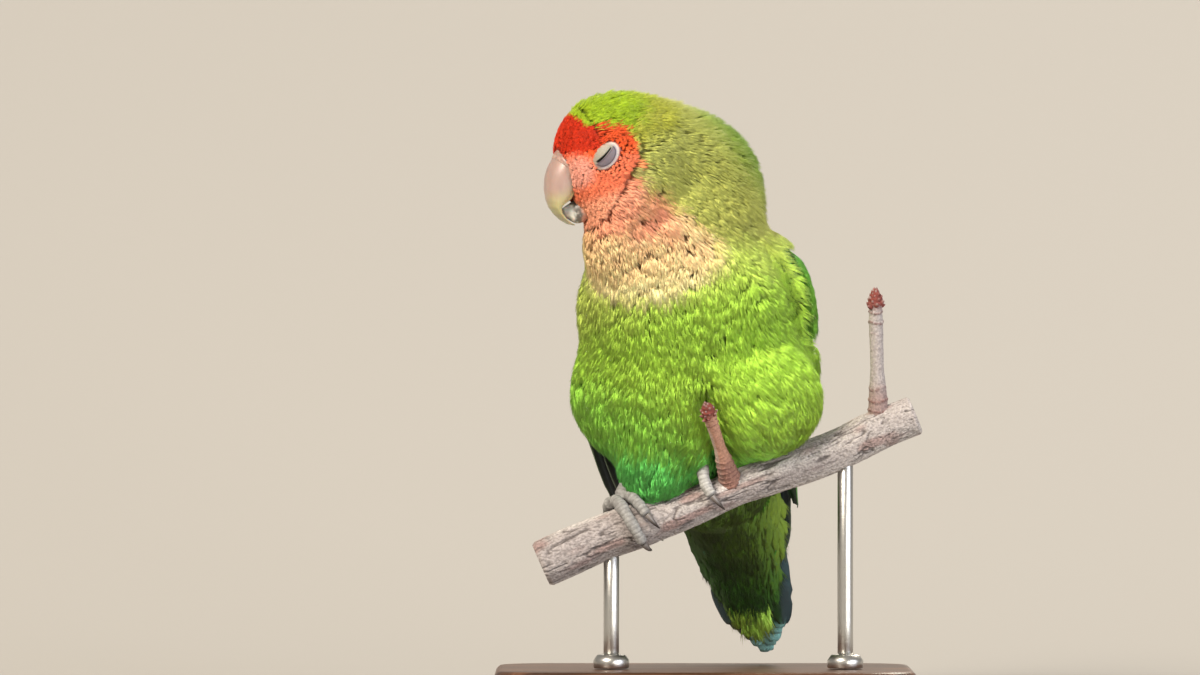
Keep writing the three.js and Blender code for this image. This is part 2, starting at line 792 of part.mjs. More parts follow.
function toeSolid(foot, toe, grow = 0) {
  const [centres, radii] = [[], []];
  for (let i = 0; i <= TOE.steps; i++) {
    const t = i / TOE.steps;
    const degrees = lerp(TOE.start, toe.reach, t);
    const pads = 1 + TOE.pad * Math.cos(t * Math.PI * 2 * TOE.pads);
    const rounded = i === 0 || i === TOE.steps ? TOE.end : 1;
    centres.push(overPerch(foot, toe, degrees, toe.radius * TOE.over + TOE.lift));
    radii.push(toe.radius * lerp(TOE.root, TOE.tip, t) * pads * rounded);
  }
  return solidOf(loft(tube(centres, radii, TOE.sides, grow)));
}

function clawSolid(foot, toe) {
  const [centres, radii] = [[], []];
  for (let i = 0; i <= CLAW.steps; i++) {
    const t = i / CLAW.steps;
    const degrees = toe.reach + CLAW.start + toe.claw * t;
    const height = toe.radius * lerp(CLAW.over, CLAW.under, t * t) + TOE.lift;
    const centre = overPerch(foot, toe, degrees, height);
    centre.x += toe.aside * t;
    centres.push(centre);
    radii.push(lerp(CLAW.root, CLAW.tip, t ** 1.3));
  }
  return solidOf(loft(tube(centres, radii, CLAW.sides)));
}

function legSolid(foot, grow = 0) {
  const { centre, up, radius } = perchFrame(foot.x);
  const ankle = centre.clone().addScaledVector(up, radius + GAP + LEG.foot);
  const knee = ankle.clone().add(point([...LEG.lean, LEG.rise]));
  const centres = LEG_SECTIONS.map(({ t }) => mix(ankle, knee, t));
  const radii = LEG_SECTIONS.map(({ share }) => share * LEG.radius);
  return solidOf(loft(tube(centres, radii, LEG.sides, grow)));
}

function pocketSolid(foot) {
  const { centre, along, radius } = perchFrame(foot.x);
  const ends = [-1, 1].map((way) => centre.clone().addScaledVector(along, way * POCKET.half));
  return solidOf(loft(tube(ends, [radius + POCKET.deep, radius + POCKET.deep], POCKET.sides)));
}

// Stand: a flat base, two rods up to the perch and a collar round the foot of each
const STAND = { width: 108, depth: 78, thick: 7, corner: 14, bevel: 1.2, cornerSteps: 5 };
const ROD = { radius: 2, sides: 16 };
const COLLAR = { radius: 4.6, high: 3.5, shoulder: 2.1, taper: 1 };
const RODS = [{ name: "low", x: -24 }, { name: "high", x: 36 }];

function baseSolid() {
  const { width, depth, thick, corner: r, bevel } = STAND;
  const [w, d] = [width / 2 - bevel, depth / 2 - bevel];
  const outline = new THREE.Shape();
  outline.moveTo(-w + r, -d);
  outline.lineTo(w - r, -d);
  outline.absarc(w - r, -d + r, r, -Math.PI / 2, 0);
  outline.lineTo(w, d - r);
  outline.absarc(w - r, d - r, r, 0, Math.PI / 2);
  outline.lineTo(-w + r, d);
  outline.absarc(-w + r, d - r, r, Math.PI / 2, Math.PI);
  outline.lineTo(-w, -d + r);
  outline.absarc(-w + r, -d + r, r, Math.PI, 1.5 * Math.PI);
  const block = new THREE.ExtrudeGeometry(outline, {
    depth: thick - 2 * bevel,
    bevelThickness: bevel,
    bevelSize: bevel,
    bevelSegments: 1,
    curveSegments: STAND.cornerSteps,
  });
  block.translate(0, 0, bevel);
  return solidOf(block);
}

function rodSolid(x, perchGrown) {
  const { centre } = perchFrame(x);
  const from = STAND.thick + GAP;
  const rod = new THREE.CylinderGeometry(ROD.radius, ROD.radius, centre.z - from, ROD.sides);
  rod.rotateX(Math.PI / 2);
  rod.translate(centre.x, centre.y, (centre.z + from) / 2);
  return largest(without(solidOf(rod), perchGrown));
}

function collarSolid(x) {
  const { centre } = perchFrame(x);
  const { radius, high, shoulder, taper } = COLLAR;
  const inner = ROD.radius + GAP;
  const section = [
    [inner, 0],
    [radius, 0],
    [radius, shoulder],
    [radius - taper, high],
    [inner, high],
    [inner, 0],
  ];
  const outline = section.map(([r, z]) => new THREE.Vector2(r, z));
  const ring = new THREE.LatheGeometry(outline, ROD.sides);
  ring.rotateX(Math.PI / 2);
  ring.translate(centre.x, centre.y, STAND.thick + GAP);
  return solidOf(ring);
}

// Materials
const paint = (color, roughness = 0.8, metalness = 0) =>
  new THREE.MeshStandardMaterial({ color, roughness, metalness });
const LOOKS = {
  plumage: paint("#6fb52c"),
  face: paint("#e5765a"),
  wing: paint("#3f8f2a"),
  tail: paint("#3f8a3f"),
  horn: paint("#d8cdb4", 0.35),
  cere: paint("#d9c4bb", 0.6),
  eye: paint("#1c1512", 0.1),
  lid: paint("#b9b6b4", 0.6),
  foot: paint("#8f8a88", 0.75),
  claw: paint("#4a4442", 0.5),
  bark: paint("#8d7d74", 0.9),
  base: paint("#4b3021", 0.45),
  steel: paint("#b9b9b6", 0.35, 1),
};

const model = new THREE.Group();

function add(name, solid, material) {
  const { numProp, vertProperties, triVerts } = solid.getMesh();
  const positions = [];
  for (let i = 0; i < vertProperties.length; i += numProp) {
    positions.push(vertProperties[i], vertProperties[i + 1], vertProperties[i + 2]);
  }
  const mesh = new THREE.Mesh(geometryOf(positions, Array.from(triVerts)), material);
  mesh.name = name;
  model.add(mesh);
}

// Assembly
const perchGrown = perchSolid(GAP);
const wholeBody = bodySolid(0);
const legsGrown = FEET.map((foot) => legSolid(foot, GAP));
const pockets = FEET.map(pocketSolid);
const raisedToes = FEET.flatMap((foot) =>
  toesOf(foot)
    .filter((toe) => toe.raise)
    .map((toe) => toeSolid(foot, toe, GAP)),
);
const upperBill = hornSolid(BILL, BILL.ridge, BILL.edge);
const upperBillGrown = hornSolid(BILL, BILL.ridge, BILL.edge, GAP);
const lowerBillGrown = hornSolid(LOWER_BILL, LOWER_BILL.rim, LOWER_BILL.keel, GAP);
const lowerBill = largest(without(hornSolid(LOWER_BILL, LOWER_BILL.rim, LOWER_BILL.keel), upperBillGrown));
const cereGrown = cereSolid(GAP);
const cere = largest(without(cereSolid(), upperBillGrown, lowerBillGrown, nostrilSolid(1), nostrilSolid(-1)));
const eyes = [["left", 1], ["right", -1]].map(([name, side]) => ({ name, frame: eyeFrame(side) }));
const tail = tailSolid();

const partings = [partingPlate(HEAD_CUT), partingPlate(NECK_CUT)];
const cuts = [...partings, perchGrown, ...legsGrown, ...pockets, ...raisedToes];
const topOf = (solid) => solid.boundingBox().max[2];
const [headBlock, neck, torsoBlock] = without(wholeBody, ...cuts)
  .decompose()
  .filter((solid) => solid.volume() > SMALLEST_BLOCK)
  .sort((a, b) => topOf(b) - topOf(a));
const sockets = eyes.map(({ frame }) => ballSolid(eyeCentre(frame), EYE.lid + GAP, EYE.socketSides));
const head = largest(without(headBlock, upperBillGrown, lowerBillGrown, cereGrown, ...sockets));
add("head", head, LOOKS.face);
add("neck", neck, LOOKS.plumage);
add("upper_bill", upperBill, LOOKS.horn);
add("lower_bill", lowerBill, LOOKS.horn);
add("cere", cere, LOOKS.cere);
for (const { name, frame } of eyes) {
  add("eye_" + name, ballSolid(eyeCentre(frame), EYE.ball, EYE.ballSides), LOOKS.eye);
  add("lids_" + name, lidSolid(frame), LOOKS.lid);
}
const wings = [wingSolid(1), wingSolid(-1)];
add("wing_left", wings[0], LOOKS.wing);
add("wing_right", wings[1], LOOKS.wing);
add("torso", torsoBlock, LOOKS.plumage);
add("tail", largest(without(tail, bodySolid(GAP), ...wings)), LOOKS.tail);
for (const foot of FEET) {
  const toesGrown = toesOf(foot).map((toe) => toeSolid(foot, toe, GAP));
  add("leg_" + foot.side, largest(without(legSolid(foot), ...toesGrown)), LOOKS.foot);
  for (const toe of toesOf(foot)) {
    add(`toe_${foot.side}_${toe.digit}`, toeSolid(foot, toe), LOOKS.foot);
    add(`claw_${foot.side}_${toe.digit}`, clawSolid(foot, toe), LOOKS.claw);
  }
}
add("perch", perchSolid(), LOOKS.bark);
add("stand_base", baseSolid(), LOOKS.base);
for (const { name, x } of RODS) {
  add("stand_rod_" + name, rodSolid(x, perchGrown), LOOKS.steel);
  add("stand_collar_" + name, collarSolid(x), LOOKS.steel);
}

export default model;
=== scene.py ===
# Peach-faced lovebird asleep on a cut branch, life size, held by a small wooden stand.
# Shapes are worked out in millimetres and go into Blender in metres.
# X is the picture's right, -Y is the side it is seen from and Z is up.
# The origin is under the middle of the base.
import bpy
import numpy as np
from math import pi, radians
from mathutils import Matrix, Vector


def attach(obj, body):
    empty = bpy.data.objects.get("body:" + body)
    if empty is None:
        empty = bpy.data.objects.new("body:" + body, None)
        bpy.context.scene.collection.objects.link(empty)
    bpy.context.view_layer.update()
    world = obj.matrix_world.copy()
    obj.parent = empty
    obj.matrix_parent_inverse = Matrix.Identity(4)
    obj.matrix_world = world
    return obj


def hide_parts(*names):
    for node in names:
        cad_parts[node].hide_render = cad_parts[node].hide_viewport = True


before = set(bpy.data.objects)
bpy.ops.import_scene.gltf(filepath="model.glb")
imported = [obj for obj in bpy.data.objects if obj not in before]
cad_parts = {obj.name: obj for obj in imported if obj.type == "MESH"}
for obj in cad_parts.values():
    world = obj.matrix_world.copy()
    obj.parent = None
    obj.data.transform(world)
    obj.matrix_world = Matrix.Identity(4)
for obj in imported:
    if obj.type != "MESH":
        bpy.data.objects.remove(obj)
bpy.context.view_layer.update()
draw = np.random.default_rng(20)
millimetre = 0.001
print("frame loaded")


# Small sums on arrays of points

def unit(v):
    return v / np.maximum(np.linalg.norm(v, axis=-1, keepdims=True), 1e-9)


def ramp(x, low, high):
    # 0 up to low, 1 from high on, and an S between them
    t = np.clip((x - low) / (high - low), 0, 1)
    return t * t * (3 - 2 * t)


def mixed(a, b, share):
    return a + (b - a) * share


def dot(a, b):
    return np.sum(a * b, axis=-1, keepdims=True)


def turning(roll=0, yaw=0, pitch=0):
    # columns are the turned axes: first about x, then z, then y
    r, w, p = radians(roll), radians(yaw), radians(pitch)
    aboutY = np.array([[np.cos(r), 0, np.sin(r)], [0, 1, 0], [-np.sin(r), 0, np.cos(r)]])
    aboutZ = np.array([[np.cos(w), -np.sin(w), 0], [np.sin(w), np.cos(w), 0], [0, 0, 1]])
    aboutX = np.array([[1, 0, 0], [0, np.cos(p), -np.sin(p)], [0, np.sin(p), np.cos(p)]])
    return aboutY @ aboutZ @ aboutX


def turnsRound(count):
    # angles evenly round a circle
    return np.linspace(0, 2 * pi, count, endpoint=False)


def grainAt(points, size, seed=0):
    # value noise from -1 to 1: random numbers on a lattice of this size, joined by S curves
    p = np.asarray(points) / size + 400.5 + 17.3 * seed
    cell = np.floor(p).astype(np.int64)
    part = p - cell
    part = part * part * (3 - 2 * part)
    total = 0
    for corner in range(8):
        step = np.array([corner & 1, corner >> 1 & 1, corner >> 2])
        c = cell + step
        code = (c[..., 0] * 73856093 ^ c[..., 1] * 19349663 ^ c[..., 2] * 83492791) % 99991
        total = total + (np.sin(code * 12.9898) * 43758.5453 % 1) * np.prod(np.where(step, part, 1 - part),
                axis=-1)
    return total * 2 - 1


def curveAt(points, t):
    # Catmull-Rom curve through the points, t from 0 to 1
    p = np.array(points, float)
    p = np.vstack([2 * p[0] - p[1], p, 2 * p[-1] - p[-2]])
    s = np.clip(np.asarray(t, float), 0, 1) * (len(p) - 3)
    i = np.minimum(s.astype(int), len(p) - 4)
    u = (s - i)[..., None]
    a, b, c, d = p[i], p[i + 1], p[i + 2], p[i + 3]
    return 0.5 * (2 * b + (c - a) * u + (2 * a - 5 * b + 4 * c - d) * u ** 2 + (3 * b - a - 3 * c + d)
                  * u ** 3)


def toLinear(colour):
    # sRGB hex, or an array of sRGB values, to linear light
    if isinstance(colour, str):
        colour = [int(colour[i:i + 2], 16) / 255 for i in (1, 3, 5)]
    c = np.asarray(colour, float)
    return np.where(c <= 0.04045, c / 12.92, ((c + 0.055) / 1.055) ** 2.4)


def tinted(colour, shade, share):
    # the colour mixed towards an sRGB shade by a share for each point
    return mixed(colour, toLinear(shade), share[..., None])


# Meshes from arrays

def gridFaces(rows, columns, closed=False):
    # the four corners of each cell of a grid; closed joins its last column to its first
    i = np.arange(rows - 1)[:, None] * columns
    j = np.arange(columns if closed else columns - 1)[None]
    a, b = i + j, i + (j + 1) % columns
    return np.stack([a, b, b + columns, a + columns], -1).reshape(-1, 4)


def tubeFaces(rows, columns):
    # a closed grid with a fan over each end, whose middles are the last two points
    j = np.arange(columns)
    k = (j + 1) % columns
    first, last = rows * columns, (rows - 1) * columns
    start = np.stack([np.full(columns, first), k, j], -1)
    end = np.stack([np.full(columns, first + 1), last + j, last + k], -1)
    return gridFaces(rows, columns, True), np.concatenate([start, end])


def tubePoints(rings):
    # rings (rows, columns, 3) with the middle of each end added
    return np.concatenate([rings.reshape(-1, 3), rings[0].mean(0)[None], rings[-1].mean(0)[None]])


def addMesh(name, points, quads, triangles, material, colours=None, maps=None, slot=None, replaces=()):
    # one piece from arrays, its faces turned outwards, riding on the root body
    quads = np.asarray(quads, np.int64).reshape(-1, 4)
    triangles = np.asarray(triangles, np.int64).reshape(-1, 3)
    whole = np.concatenate([quads[:, [0, 1, 2]], quads[:, [0, 2, 3]], triangles])
    p = points - points.mean(0)
    if np.sum(p[whole[:, 0]] * np.cross(p[whole[:, 1]], p[whole[:, 2]])) < 0:
        quads, triangles = quads[:, ::-1], triangles[:, ::-1]
    corners = np.concatenate([quads.ravel(), triangles.ravel()])
    starts = np.concatenate([np.arange(len(quads)) * 4, len(quads) * 4 + np.arange(len(triangles)) * 3])
    mesh = bpy.data.meshes.new(name)
    mesh.vertices.add(len(points))
    mesh.vertices.foreach_set("co", (points * millimetre).astype(np.float32).ravel())
    mesh.loops.add(len(corners))
    mesh.loops.foreach_set("vertex_index", corners.astype(np.int32))
    mesh.polygons.add(len(starts))
    mesh.polygons.foreach_set("loop_start", starts.astype(np.int32))
    mesh.polygons.foreach_set("use_smooth", np.full(len(starts), True))
    mesh.update(calc_edges=True)
    if colours is not None:
        layer = mesh.color_attributes.new(name="markings", type="FLOAT_COLOR", domain="POINT")
        alpha = np.ones((len(points), 1))
        layer.data.foreach_set("color", np.hstack([colours, alpha]).astype(np.float32).ravel())
    for mapName, uv in (maps or {}).items():
        layer = mesh.uv_layers.new(name=mapName)
        layer.data.foreach_set("uv", uv[corners].astype(np.float32).ravel())
    mesh.materials.append(material)
    piece = bpy.data.objects.new(name, mesh)
    bpy.context.scene.collection.objects.link(piece)
    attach(piece, "root")
    if replaces:
        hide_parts(*replaces)


def addTube(name, rings, material, colours, slot, replaced):
    # one closed tube from rings of points, with a middle point for each end
    quads, triangles = tubeFaces(*rings.shape[:2])
    addMesh(name, tubePoints(rings), quads, triangles, material, colours, slot=slot, replaces=(replaced,))


def merged(parts):
    # several (points, quads, triangles, colours) as one
    points, quads, triangles, colours, start = [], [], [], [], 0
    for p, q, t, c in parts:
        points.append(p)
        quads.append(np.asarray(q, np.int64).reshape(-1, 4) + start)
        triangles.append(np.asarray(t, np.int64).reshape(-1, 3) + start)
        colours.append(np.broadcast_to(c, p.shape))
        start += len(p)
    return [np.concatenate(a) for a in (points, quads, triangles, colours)]


# Materials

def addNode(tree, kind, inputs=None, **settings):
    # one node, its settings, and its inputs as values or as other nodes' sockets
    node = tree.nodes.new("ShaderNode" + kind)
    for key, value in settings.items():
        setattr(node, key, value)
    for key, value in (inputs or {}).items():
        if isinstance(value, bpy.types.NodeSocket):
            tree.links.new(value, node.inputs[key])
        else:
            node.inputs[key].default_value = value
    return node


def addMaterial(name, **surface):
    material = bpy.data.materials.new(name)
    material.use_nodes = True
    tree = material.node_tree
    tree.nodes.clear()
    shader = addNode(tree, "BsdfPrincipled", {key.replace("_", " "): value for key, value in surface.items()})
    addNode(tree, "OutputMaterial", {"Surface": shader.outputs[0]})
    return material, tree, shader


def rgba(colour):
    return (*toLinear(colour), 1)


def mottled(tree, colour, size, low=0.85, high=1.12, stretch=(1, 1, 1), detail=3):
    # the colour made darker and lighter by a noise whose blots are about this many millimetres
    place = addNode(tree, "TexCoord").outputs["Object"]
    scaled = addNode(tree, "Mapping", {"Vector": place, "Scale": stretch})
    noise = addNode(tree, "TexNoise", {"Vector": scaled.outputs[0], "Scale": 1000 / size, "Detail": detail})
    spread = addNode(tree, "MapRange", {"Value": noise.outputs["Fac"], "From Min": 0.3, "From Max": 0.7,
                                        "To Min": low, "To Max": high})
    blend = addNode(tree, "Mix", {0: 1.0, 6: colour, 7: spread.outputs[0]}, data_type="RGBA",
                    blend_type="MULTIPLY")
    return blend.outputs[2], noise.outputs["Fac"]


def bumped(tree, shader, height, deep, strength=1.0):
    # relief of this many millimetres from a height of 0 to 1
    bump = addNode(tree, "Bump", {"Height": height, "Distance": deep * millimetre, "Strength": strength})
    tree.links.new(bump.outputs[0], shader.inputs["Normal"])


def markingsOf(tree):
    return addNode(tree, "Attribute", attribute_name="markings").outputs["Color"]


def addMarked(name, size, low, high, relief=0, stretch=(1, 1, 1), detail=3, **surface):
    # a material in the piece's own markings, with blots of this many millimetres that also give its relief
    material, tree, shader = addMaterial(name, **surface)
    colour, noise = mottled(tree, markingsOf(tree), size, low, high, stretch, detail)
    tree.links.new(colour, shader.inputs["Base Color"])
    if relief:
        bumped(tree, shader, noise, relief)
    return material


def plumageMaterial(name, roughness):
    # soft keratin barbs: dull, with a faint pale bloom along their edges
    return addMarked(name, 0.9, 0.9, 1.1, Roughness=roughness, Sheen_Weight=0.04, Sheen_Roughness=0.45,
                     IOR=1.54,
                     Specular_IOR_Level=0.25)


def vaneMaterial():
    # smooth flight-feather keratin: barbs close together give it a satin grain across each vane
    material, tree, shader = addMaterial("feather_vane_keratin", Roughness=0.5, Sheen_Weight=0.15,
                                         Sheen_Roughness=0.4, IOR=1.54)
    place = addNode(tree, "UVMap", uv_map="barbs").outputs[0]
    wave = addNode(tree, "TexWave", {"Vector": place, "Scale": 2.2, "Distortion": 1.0, "Detail": 1.0},
                   wave_type="BANDS", bands_direction="Y")
    colour, _ = mottled(tree, markingsOf(tree), 1.2, 0.88, 1.1)
    lined = addNode(tree, "MapRange", {"Value": wave.outputs["Fac"], "To Min": 0.9, "To Max": 1.04})
    blend = addNode(tree, "Mix", {0: 1.0, 6: colour, 7: lined.outputs[0]}, data_type="RGBA",
                    blend_type="MULTIPLY")
    tree.links.new(blend.outputs[2], shader.inputs["Base Color"])
    bumped(tree, shader, wave.outputs["Fac"], 0.03)
    return material


softPlumage = plumageMaterial("body_feather_barbs", 0.58)
downySkin = plumageMaterial("downy_skin", 0.85)
vaneKeratin = vaneMaterial()
print("feather materials made")


# The bird's form: ellipsoids joined softly, in the body's or the head's own frame (x to its left, -y
# forward, z up)
pose = {
    "bodyAt": (-1.5, -5, 46), "bodyRoll": -2, "bodyYaw": -22,
    "headAt": (-20.5, -13.5, 138), "headYaw": -76, "headPitch": 22,
    "blend": 2.5,
}
bodyForms = [
    ((-2, -1, 33), (26.5, 22, 24), 0), ((21, -4, 30), (14.5, 15, 14.5), 0),
             ((-18.5, 0, 32.5), (13, 18.5, 15), 0),
    ((-1, -3, 54), (28, 22, 22), 0), ((0, 7, 49), (25, 17, 29), 8), ((-1.5, 18.5, 14), (16.5, 9.5, 26), 18),
    ((1, 8, 11), (14, 13, 15), 0), ((14.5, -3, 27), (10.5, 11, 9), 0),
             ((-7.4, -8.8, 12.6), (9.4, 11, 10.3), 0),
    ((-2, -2, 73), (20, 18, 15), 0), ((0, 4, 84), (16.5, 15, 17), 0),
             ((-4, -1.5, 91.5), (13.5, 13.5, 12.5), 0),
    ((-12, -15.5, 70), (10, 10.5, 9), 0),
]
headForms = [
    ((0, 0, 0), (14.3, 16, 15.8), 0), ((0, -3.4, 3), (12, 13.2, 13.4), 0),
    ((5.5, -4.6, -10), (8.5, 8, 8), 0), ((-5.5, -4.6, -10), (8.5, 8, 8), 0),
]
tailForms = [((1, 27, -1), (11.5, 6.5, 18), 22), ((1.5, 34.5, -19), (8, 4.2, 20), 22)]
parting = {"start": (6.6, 55), "end": (0.1, 76), "deep": 5, "wide": 3.4, "front": -12}
spine = [(3.5, 2, 60), (-0.5, -3, 80), (-1.5, -4, 100), (-5, -6, 118), (-10, -10, 130), (-19, -13, 137)]

bodyAt, bodyTurn = np.array(pose["bodyAt"]), turning(pose["bodyRoll"], pose["bodyYaw"])
headAt, headTurn = np.array(pose["headAt"]), turning(0, pose["headYaw"], pose["headPitch"])


def fromBody(p):
    return np.asarray(p, float) @ bodyTurn.T + bodyAt


def fromHead(p):
    return np.asarray(p, float) @ headTurn.T + headAt


def inBody(p):
    return (p - bodyAt) @ bodyTurn


def inHead(p):
    return (p - headAt) @ headTurn


def measured(forms, at, turn):
    return [(at + turn @ np.array(c), turn @ turning(pitch=pitch), np.array(r)) for c, r, pitch in forms]


birdForms = measured(bodyForms, bodyAt, bodyTurn) + measured(headForms, headAt, headTurn)
drapeForms = birdForms + measured(tailForms, bodyAt, bodyTurn)


def twigOffset(p):
    # sideways distance from the twig in front of the belly, as seen from the front
    a, b = np.array(parting["start"]), np.array(parting["end"])
    q = p[..., [0, 2]] - a
    t = np.clip(q @ (b - a) / np.sum((b - a) ** 2), 0, 1)
    return q - t[..., None] * (b - a)


def levelAt(p, forms=None):
    # height over the form: each ellipsoid's distance r(r-1)/slope, joined by a soft minimum, plus the groove
    # at the twig
    total = 0
    for centre, turn, radii in forms or birdForms:
        q = (p - centre) @ turn / radii
        near = np.linalg.norm(q, axis=-1)
        slope = np.linalg.norm(q / radii, axis=-1) + 1e-9
        total = total + np.exp(-np.minimum(near * (near - 1) / slope, 150) / pose["blend"])
    off = np.linalg.norm(twigOffset(p), axis=-1) / parting["wide"]
    groove = parting["deep"] * np.exp(-off * off) * np.clip((parting["front"] - p[..., 1]) / 5, 0, 1)
    return -pose["blend"] * np.log(total) + groove


def outwardAt(p, forms=None, step=0.05):
    # slope of the height, by differences along each axis
    steps = np.eye(3) * step
    return unit(np.stack([levelAt(p + s, forms) - levelAt(p - s, forms) for s in steps], -1))


def settled(p, height, forms=None, passes=4):
    # points moved straight out or in to this height over the form
    for _ in range(passes):
        p = p - outwardAt(p, forms) * (levelAt(p, forms) - height)[..., None]
    return p


coat = {"faceDepth": 0.75, "bodyDepth": 2.2, "faceEnd": 10, "bodyStart": 26}
flowStart = fromHead((0, -16, 7))  # the coat runs back from the root of the bill


def coatDepth(p):
    # depth of the skin under the coat's tips, shallow on the face
    away = np.linalg.norm(p - flowStart, axis=-1)
    return mixed(coat["faceDepth"], coat["bodyDepth"], ramp(away, coat["faceEnd"], coat["bodyStart"]))


def skinLevel(p):
    return levelAt(p) + coatDepth(p)


# The perch's own line, which the feet and the belly need too
perch = {
    "line": [(-42, -13, 33.8), (-27, -13, 40.4), (-14, -13, 44.9), (-3, -13, 48.9), (9, -13, 53.9),
             (22, -13, 58.7),
             (34.6, -13, 63.6), (44, -13, 68.2), (54, -13, 72.3)],
    "places": [-42, -27, -16, -4, 9, 16, 30, 44, 54],  # along X, with the radius at each
    "radii": [6.0, 6.0, 5.7, 4.9, 4.4, 4.9, 5.3, 5.3, 5.0],
    "swell": 0.12, "rows": 300, "sides": 132,
}
finePerch = curveAt(perch["line"], np.linspace(0, 1, 600))


def perchPlace(x):
    # middle, direction, upward direction and radius of the perch at a place along X
    x = np.asarray(x, float)
    z = np.interp(x, finePerch[:, 0], finePerch[:, 2])
    rise = np.interp(x + 0.5, finePerch[:, 0], finePerch[:, 2]) - np.interp(x - 0.5, finePerch[:, 0],
            finePerch[:, 2])
    centre = np.stack([x, np.full_like(x, -13.0), z], -1)
    along = unit(np.stack([np.ones_like(x), np.zeros_like(x), rise], -1))
    upward = np.stack([-along[..., 2], np.zeros_like(x), along[..., 0]], -1)
    t = (x - finePerch[0, 0]) / (finePerch[-1, 0] - finePerch[0, 0])
    radius = np.interp(x, perch["places"], perch["radii"]) + perch["swell"] * np.sin(11 * t) * np.sin(29 * t)
    return centre, along, upward, radius


def clearOfPerch(p, gap):
    # points nearer than the gap to the perch moved straight out of it
    centre, along, _, radius = perchPlace(p[..., 0])
    off = p - centre
    off = off - dot(off, along) * along
    far = np.linalg.norm(off, axis=-1)
    push = np.where((p[..., 0] > -42) & (p[..., 0] < 54), np.maximum(radius + gap - far, 0), 0)
    return p + unit(off) * push[..., None]


# Colours of the plumage, by place on the bird
plumageColours = {
    "forehead": "#c42d04", "brow": "#f2682e", "face": "#ee7f58", "lore": "#e6ac9a", "chin": "#f9ab88",
                  "bib": "#ffd9a2",
    "bibLow": "#ffedb0", "crown": "#a0bb20", "cheekBack": "#c2b67a", "neckSide": "#bcc062", "nape": "#7da038",
    "breast": "#cbde6a", "flank": "#b2de4c", "belly": "#a2e255", "vent": "#70d868", "back": "#64ac33",
                  "rump": "#2a9db4",
    # underside: a darker olive, painted shade under the bird
    "wing": "#5aa52e", "hindCrown": "#b6b838", "underside": "#5a7a28",
}
plumageLight = {name: toLinear(value) for name, value in plumageColours.items()}


def markings(p):
    # soft-edged fields of colour in the body's and the head's own frames, their edges broken by noise
    light = plumageLight
    body, head = inBody(p), inHead(p)
    forward, up = -head[..., 1], head[..., 2]
    ragged = grainAt(p, 2.2, 1) + 0.6 * grainAt(p, 0.9, 2)
    height, back = p[..., 2] + 2.0 * ragged, body[..., 1] + 1.5 * ragged
    left = body[..., 0]
    behind = body[..., 1] - 17 - 0.32 * np.clip(15 - body[..., 2], 0, 60) + 1.2 * ragged

    def over(colour, name, share):
        return mixed(colour, light[name], share[..., None])

    colour = np.broadcast_to(light["vent"], p.shape)
    colour = over(colour, "belly", ramp(height + 0.12 * left, 57, 66))
    # a darker olive over the lower body behind its front: painted shade under the bird
    colour = over(colour, "underside", ramp(back, -9, -4) * ramp(-height, -60, -54))
    colour = over(colour, "flank", ramp(height + 0.35 * left, 64, 80))
    colour = over(colour, "breast", ramp(height - 0.3 * left, 92, 108))
    colour = over(colour, "back", ramp(back, 6, 16) * ramp(behind, -7, 1))
    colour = over(colour, "rump", ramp(behind, 0, 4) * ramp(-height, -76, -62))
    colour = over(colour, "neckSide", ramp(height, 112, 120))
    colour = over(colour, "nape", ramp(-forward + 0.3 * up, 17, 27) * ramp(height, 100, 116))
    colour = over(colour, "hindCrown", 0.8 * ramp(up + 0.6 * ragged, -1, 6) * ramp(forward + ragged,
            -20, -10))
    colour = over(colour, "crown", ramp(up + 0.35 * forward + 0.6 * ragged, 4, 8) * ramp(forward + ragged,
            -16, -3))
    bib = p - np.array([-15, -24, 113])
    reach = np.sqrt((bib[..., 0] / 19) ** 2 + (bib[..., 1] / 18) ** 2 + (bib[..., 2] / 12)
                    ** 2) + 0.05 * ragged
    colour = over(colour, "bibLow", ramp(-reach, -1.22, -0.85) * ramp(-height, -118, -106))
    colour = over(colour, "bib", ramp(-reach, -1.08, -0.8) * ramp(height, 103, 111))
    chin = ramp(-height, -133, -125) * ramp(height, 113, 121) * ramp(forward + 0.5 * ragged, -6, 1)
    colour = over(colour, "chin", chin)
    cheek = np.hypot(forward - 11.5, (up + 3) * 0.82) + 0.4 * ragged
    colour = over(colour, "cheekBack", ramp(-cheek, -14.5, -10.5) * 0.55)
    colour = over(colour, "face", ramp(-cheek, -10.9, -9.3))
    colour = over(colour, "chin", ramp(-cheek, -12.5, -9.5) * ramp(-up, 4, 8))
    top = 7.8 + 0.42 * (forward + 1) + 9 * ramp(forward, 7.6, 11.5)
    inBand = ramp(top - up + 0.5 * ragged, -0.4, 0.5) * ramp(forward + 0.4 * ragged, -1.4, -0.2)
    low = 2.6 + 0.22 * (forward + 1)
    colour = over(colour, "face", inBand * ramp(up, low - 7, low - 4))
    colour = over(colour, "brow", inBand * ramp(up + 0.5 * ragged, low - 2.5, low))
    colour = over(colour, "forehead", inBand * ramp(up + 0.5 * ragged, low - 0.4, low + 1.6))
    colour = over(colour, "brow", 0.7 * inBand * ramp(-forward, -8, -3) * ramp(up, low - 2, low))
    colour = over(colour, "crown", ramp(up - top + 0.5 * ragged, -0.3, 0.6) * ramp(forward, -7, -2))
    return over(colour, "lore", 0.75 * ramp(-np.hypot(forward - 14.5, up - 2), -5.5, -2.5))


# Skin: one closed surface, rings cast out from the spine
skin = {"rows": 190, "columns": 168}


